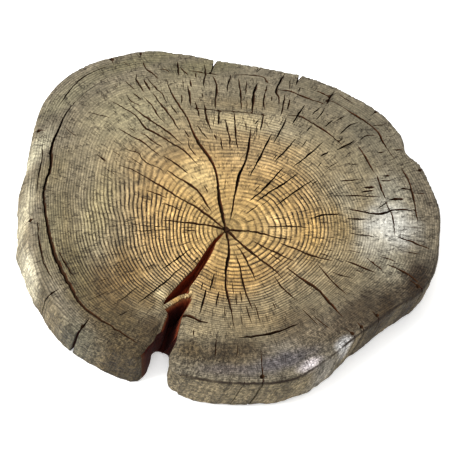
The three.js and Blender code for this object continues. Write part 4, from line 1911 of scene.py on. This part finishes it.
@dataclass(frozen=True)
class WeatheredFinish:
    """Weathered end grain and bark side: rings, rays, hairlines and grime over the slow colour."""

    name: str = "weathered_wood"
    warm_line: str = "37230f"
    grey_line: str = "665843"
    hairline_tint: str = "241509"
    edge_tint: str = "2c2116"
    waver: float = 0.7
    line: float = 0.35
    crowd: float = 34.0
    opening: float = 0.022
    bump: float = 0.0010

    def build(self, effects: Effects) -> bpy.types.Material:
        """Builds the material.

        Args:
            effects: The shared wood effects.

        Returns:
            The material.
        """
        material, shader = start_material(self.name)
        bench = NodeBench(material.node_tree)
        parts = self.gather(bench, effects)
        bench.feed(shader.inputs["Base Color"], self.colour(bench, parts))
        bench.feed(shader.inputs["Roughness"], bench.ramp(parts.mottle["Grime"], 0.3, 0.7, 0.74, 0.96))
        bench.emboss(shader, self.height(bench, parts), 0.8, self.bump)
        shader.inputs["Specular IOR Level"].default_value = 0.28
        return material

    def gather(self, bench: NodeBench, effects: Effects) -> WoodParts:
        """Reads the mesh and places the shared effects.

        Args:
            bench: The material's bench.
            effects: The shared wood effects.

        Returns:
            What the colour and the height are made of.
        """
        place, year = bench.read("log_place", "Vector"), bench.read("year")
        side = bench.read("bark_side")
        rings = effects.rings.place_in(bench, Place=place, Year=year, Waver=self.waver, Line=self.line)
        rays = effects.rays.place_in(bench, Place=place, Crowd=self.crowd, Opening=self.opening)
        mottle = effects.mottle.place_in(bench, Place=place, Blotch_Scale=0.05)
        strands = bench.product(bench.ramp(mottle.outputs["Strands"], 0.36, 0.64, -0.36, 0.26),
                                bench.ramp(side, 0.55, 1.0))
        speckle = bench.math("SUBTRACT", mottle.outputs["Speckle"], 0.46)
        return WoodParts(year=year, tint=bench.read("tint", "Color"), side=side,
                         marks=bench.read("ring_marks"), rings=rings.outputs, rays=rays.outputs,
                         mottle=mottle.outputs, strands=strands,
                         gritty=bench.product(speckle, bench.read("grit")))

    def tone(self, bench: NodeBench, parts: WoodParts) -> bpy.types.NodeSocket:
        """Draws how light the wood is, from the years, rays, streaks, blotches, fibres and grit.

        Args:
            bench: The material's bench.
            parts: What the finish reads.

        Returns:
            The tone, with 1 for the slow colour itself.
        """
        drawn = bench.ramp(parts.marks, 0.1, 0.8, 0.3, 1.0)
        streak = bench.product(bench.math("SUBTRACT", parts.rings["Streaks"], 0.5), drawn)
        early = bench.product(parts.rings["Early"], parts.marks, 0.4)
        return bench.product(
            bench.math("MULTIPLY_ADD", parts.rings["Tone"], 0.2, 0.9),
            bench.ramp(parts.rays["Rays"], 0.28, 0.72, 0.8, 1.18),
            bench.math("MULTIPLY_ADD", streak, 0.62, 1.0),
            bench.ramp(parts.mottle["Blotch"], 0.3, 0.7, 0.85, 1.14),
            bench.ramp(parts.mottle["Grime"], 0.3, 0.7, 0.78, 1.2),
            bench.math("ADD", parts.strands, 1.0),
            bench.math("ADD", early, 1.0),
            bench.math("MAXIMUM", bench.math("ADD", parts.gritty, 1.0), 0.2),
        )

    def colour(self, bench: NodeBench, parts: WoodParts) -> bpy.types.NodeSocket:
        """Mixes the slow colour with the late wood, the dark line of the upper edge and the hairlines.

        Args:
            bench: The material's bench.
            parts: What the finish reads.

        Returns:
            The colour.
        """
        colour = bench.shade(parts.tint, self.tone(bench, parts))
        line_tint = bench.blend(bench.ramp(parts.year, 36.0, 20.0), solid(self.grey_line),
                                solid(self.warm_line))
        dark = bench.blend(1.0, colour, line_tint, "MULTIPLY")
        late = bench.math("MULTIPLY", parts.rings["Late"], parts.marks, clamp=True)
        colour = bench.blend(late, colour, dark)
        edge = bench.product(bench.ramp(parts.side, 0.05, 0.4),
                             bench.ramp(parts.side, 0.6, 0.98, 1.0, 0.0))
        edge = bench.math("MULTIPLY", edge, bench.read("edge_line"), clamp=True)
        colour = bench.blend(edge, colour, solid(self.edge_tint))
        hair = bench.product(parts.rays["Hairlines"], bench.ramp(parts.side, 0.2, 0.9, 0.9, 0.25))
        return bench.blend(hair, colour, solid(self.hairline_tint))

    def height(self, bench: NodeBench, parts: WoodParts) -> bpy.types.NodeSocket:
        """Adds up the relief that is too fine for the mesh.

        Args:
            bench: The material's bench.
            parts: What the finish reads.

        Returns:
            The height of the bumps.
        """
        height = bench.product(parts.rings["Height"], bench.product(parts.marks, 0.45))
        for part, amount in (
            (parts.mottle["Grime"], 0.9), (parts.rays["Rays"], 0.4), (parts.gritty, 0.5),
            (parts.rings["Streaks"], 0.3), (parts.strands, 1.0), (parts.rays["Hairlines"], -0.8),
        ):
            height = bench.math("ADD", height, bench.product(part, amount))
        return height


@dataclass(frozen=True)
class SplitFinish:
    """The wood inside the split and the checks, with its fibres, darkened by painted shade that grows with
    depth.
    """

    name: str = "split_wood"
    lip_tint: str = "4a3019"
    wall_tint: str = "86391a"
    deep_shade_tint: str = "310a04"
    check_shade_tint: str = "34200f"
    fade: float = 5.0
    bump: float = 0.0008

    def build(self, effects: Effects) -> bpy.types.Material:
        """Builds the material.

        Args:
            effects: The shared wood effects.

        Returns:
            The material.
        """
        material, shader = start_material(self.name)
        bench = NodeBench(material.node_tree)
        place = bench.read("log_place", "Vector")
        depth, gap = bench.read("crack_depth"), bench.read("in_gap")
        mottle = effects.mottle.place_in(bench, Place=place, Blotch_Scale=0.12)
        fibres = mottle.outputs["Fibres"]
        colour = bench.blend(bench.ramp(depth, 0.4, self.fade), solid(self.lip_tint),
                             solid(self.wall_tint))
        # Deep in the split, in its through mouth and in the rim's gaps, the colour turns to a painted
        # shade.
        sunk = bench.math("MAXIMUM", bench.ramp(depth, 24.0, 30.0), gap)
        colour = bench.blend(sunk, colour, solid(self.deep_shade_tint))
        # Narrow checks are painted dark as the shade inside the crack.
        checked = bench.ramp(bench.read("in_check"), 0.0, 0.12)
        colour = bench.blend(checked, colour, solid(self.check_shade_tint))
        tone = bench.product(bench.ramp(fibres, 0.3, 0.7, 0.6, 1.5),
                             bench.ramp(mottle.outputs["Grime"], 0.3, 0.7, 0.75, 1.25))
        bench.feed(shader.inputs["Base Color"], bench.shade(colour, tone))
        bench.feed(shader.inputs["Roughness"], bench.ramp(fibres, 0.3, 0.7, 0.82, 0.98))
        bench.emboss(shader, fibres, 0.9, self.bump)
        shader.inputs["Specular IOR Level"].default_value = 0.15
        return material


@dataclass(frozen=True)
class Lamp:
    """One round soft light: where it hangs as seen from the slice, how wide it is and how bright."""

    name: str
    azimuth: float
    elevation: float
    distance: float
    size: float
    power: float

    def hang(self, target: Vector) -> None:
        """Hangs the light.

        Args:
            target: What it points at.
        """
        light = bpy.data.lights.new(self.name, "AREA")
        light.shape = "DISK"
        light.size = self.size
        light.energy = self.power
        lamp = bpy.data.objects.new(self.name, light)
        turn, rise = math.radians(self.azimuth), math.radians(self.elevation)
        level = math.cos(rise)
        away = Vector((math.cos(turn) * level, math.sin(turn) * level, math.sin(rise)))
        lamp.location = target + away * self.distance
        lamp.rotation_euler = (-away).to_track_quat("-Z", "Y").to_euler()
        bpy.context.scene.collection.objects.link(lamp)


@dataclass(frozen=True)
class Studio:
    """The plain floor, the soft light and the camera."""

    elevation: float = 54.0
    distance: float = 0.855
    lens: float = 85.0
    aim_from_pith: tuple[float, float] = (0.00045, 0.0262)
    floor_size: float = 8.0
    floor_tint: str = "fdfdfc"
    lamps: tuple[Lamp, ...] = (
        Lamp("key", 186, 46, 1.5, 1.0, 21.0),
        Lamp("top", 80, 80, 1.7, 1.6, 12.0),
        Lamp("front", 262, 38, 1.9, 1.4, 2.0),
    )

    def build_floor(self) -> bpy.types.Object:
        """Lays the pale floor under the slice.

        Returns:
            The floor.
        """
        half, low = self.floor_size / 2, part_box(NODE)[0][2]
        corners = [(-half, -half, low), (half, -half, low), (half, half, low), (-half, half, low)]
        mesh = bpy.data.meshes.new("studio_floor")
        mesh.from_pydata(corners, [], [(0, 1, 2, 3)])
        floor = bpy.data.objects.new("studio_floor", mesh)
        material, shader = start_material("studio_floor")
        shader.inputs["Base Color"].default_value = solid(self.floor_tint)
        shader.inputs["Roughness"].default_value = 0.9
        shader.inputs["Emission Color"].default_value = (1.0, 1.0, 1.0, 1.0)
        shader.inputs["Emission Strength"].default_value = 0.35
        mesh.materials.append(material)
        bpy.context.scene.collection.objects.link(floor)
        return floor

    def build_lights(self, target: Vector) -> None:
        """Hangs the soft lights and sets the pale surroundings.

        Args:
            target: What the lights point at.
        """
        for lamp in self.lamps:
            lamp.hang(target)
        world = bpy.data.worlds.new("studio")
        world.use_nodes = True
        background = world.node_tree.nodes["Background"]
        background.inputs["Color"].default_value = (1.0, 1.0, 1.0, 1.0)
        background.inputs["Strength"].default_value = 0.66
        bpy.context.scene.world = world

    def build_camera(self, pith: Vector) -> None:
        """Sets the camera, looking down on the slice from the front.

        Args:
            pith: The pith's place on the upper face.
        """
        aim = Vector((pith.x + self.aim_from_pith[0], pith.y + self.aim_from_pith[1], 0.0))
        rise = math.radians(self.elevation)
        away = Vector((0.0, -math.cos(rise), math.sin(rise)))
        lens = bpy.data.cameras.new("studio_camera")
        lens.lens = self.lens
        camera = bpy.data.objects.new("studio_camera", lens)
        camera.location = aim + away * self.distance
        camera.rotation_euler = (-away).to_track_quat("-Z", "Y").to_euler()
        bpy.context.scene.collection.objects.link(camera)
        bpy.context.scene.camera = camera
        bpy.context.scene.view_settings.view_transform = "Standard"


def main() -> None:
    """Builds the slice, dresses it and sets the studio round it."""
    logging.basicConfig(level=logging.INFO, format="%(name)s: %(message)s")
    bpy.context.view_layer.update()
    slice_maker = LogSlice()
    piece = slice_maker.build()
    pith = slice_maker.set_down(piece)
    effects = Effects(build_growth_rings(), build_rays(), build_mottle())
    weathered = WeatheredFinish().build(effects)
    inside = SplitFinish().build(effects)
    underside = WeatheredFinish(name="underside_wood", line=0.34, bump=0.0008).build(effects)
    for surface, material in (
        (Surface.WEATHERED, weathered), (Surface.SPLIT, inside), (Surface.UNDERSIDE, underside),
    ):
        piece.data.materials.append(material)
        LOG.info("finish %s on %s", material.name, surface.name.lower())
    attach(piece, "root")
    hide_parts(NODE)
    LOG.info("%s: %d points, %d faces", piece.name, len(piece.data.vertices), len(piece.data.polygons))
    studio = Studio()
    studio.build_floor()
    studio.build_lights(Vector((0.0, 0.0, 0.0)))
    studio.build_camera(pith)


if __name__ == "__main__":
    main()
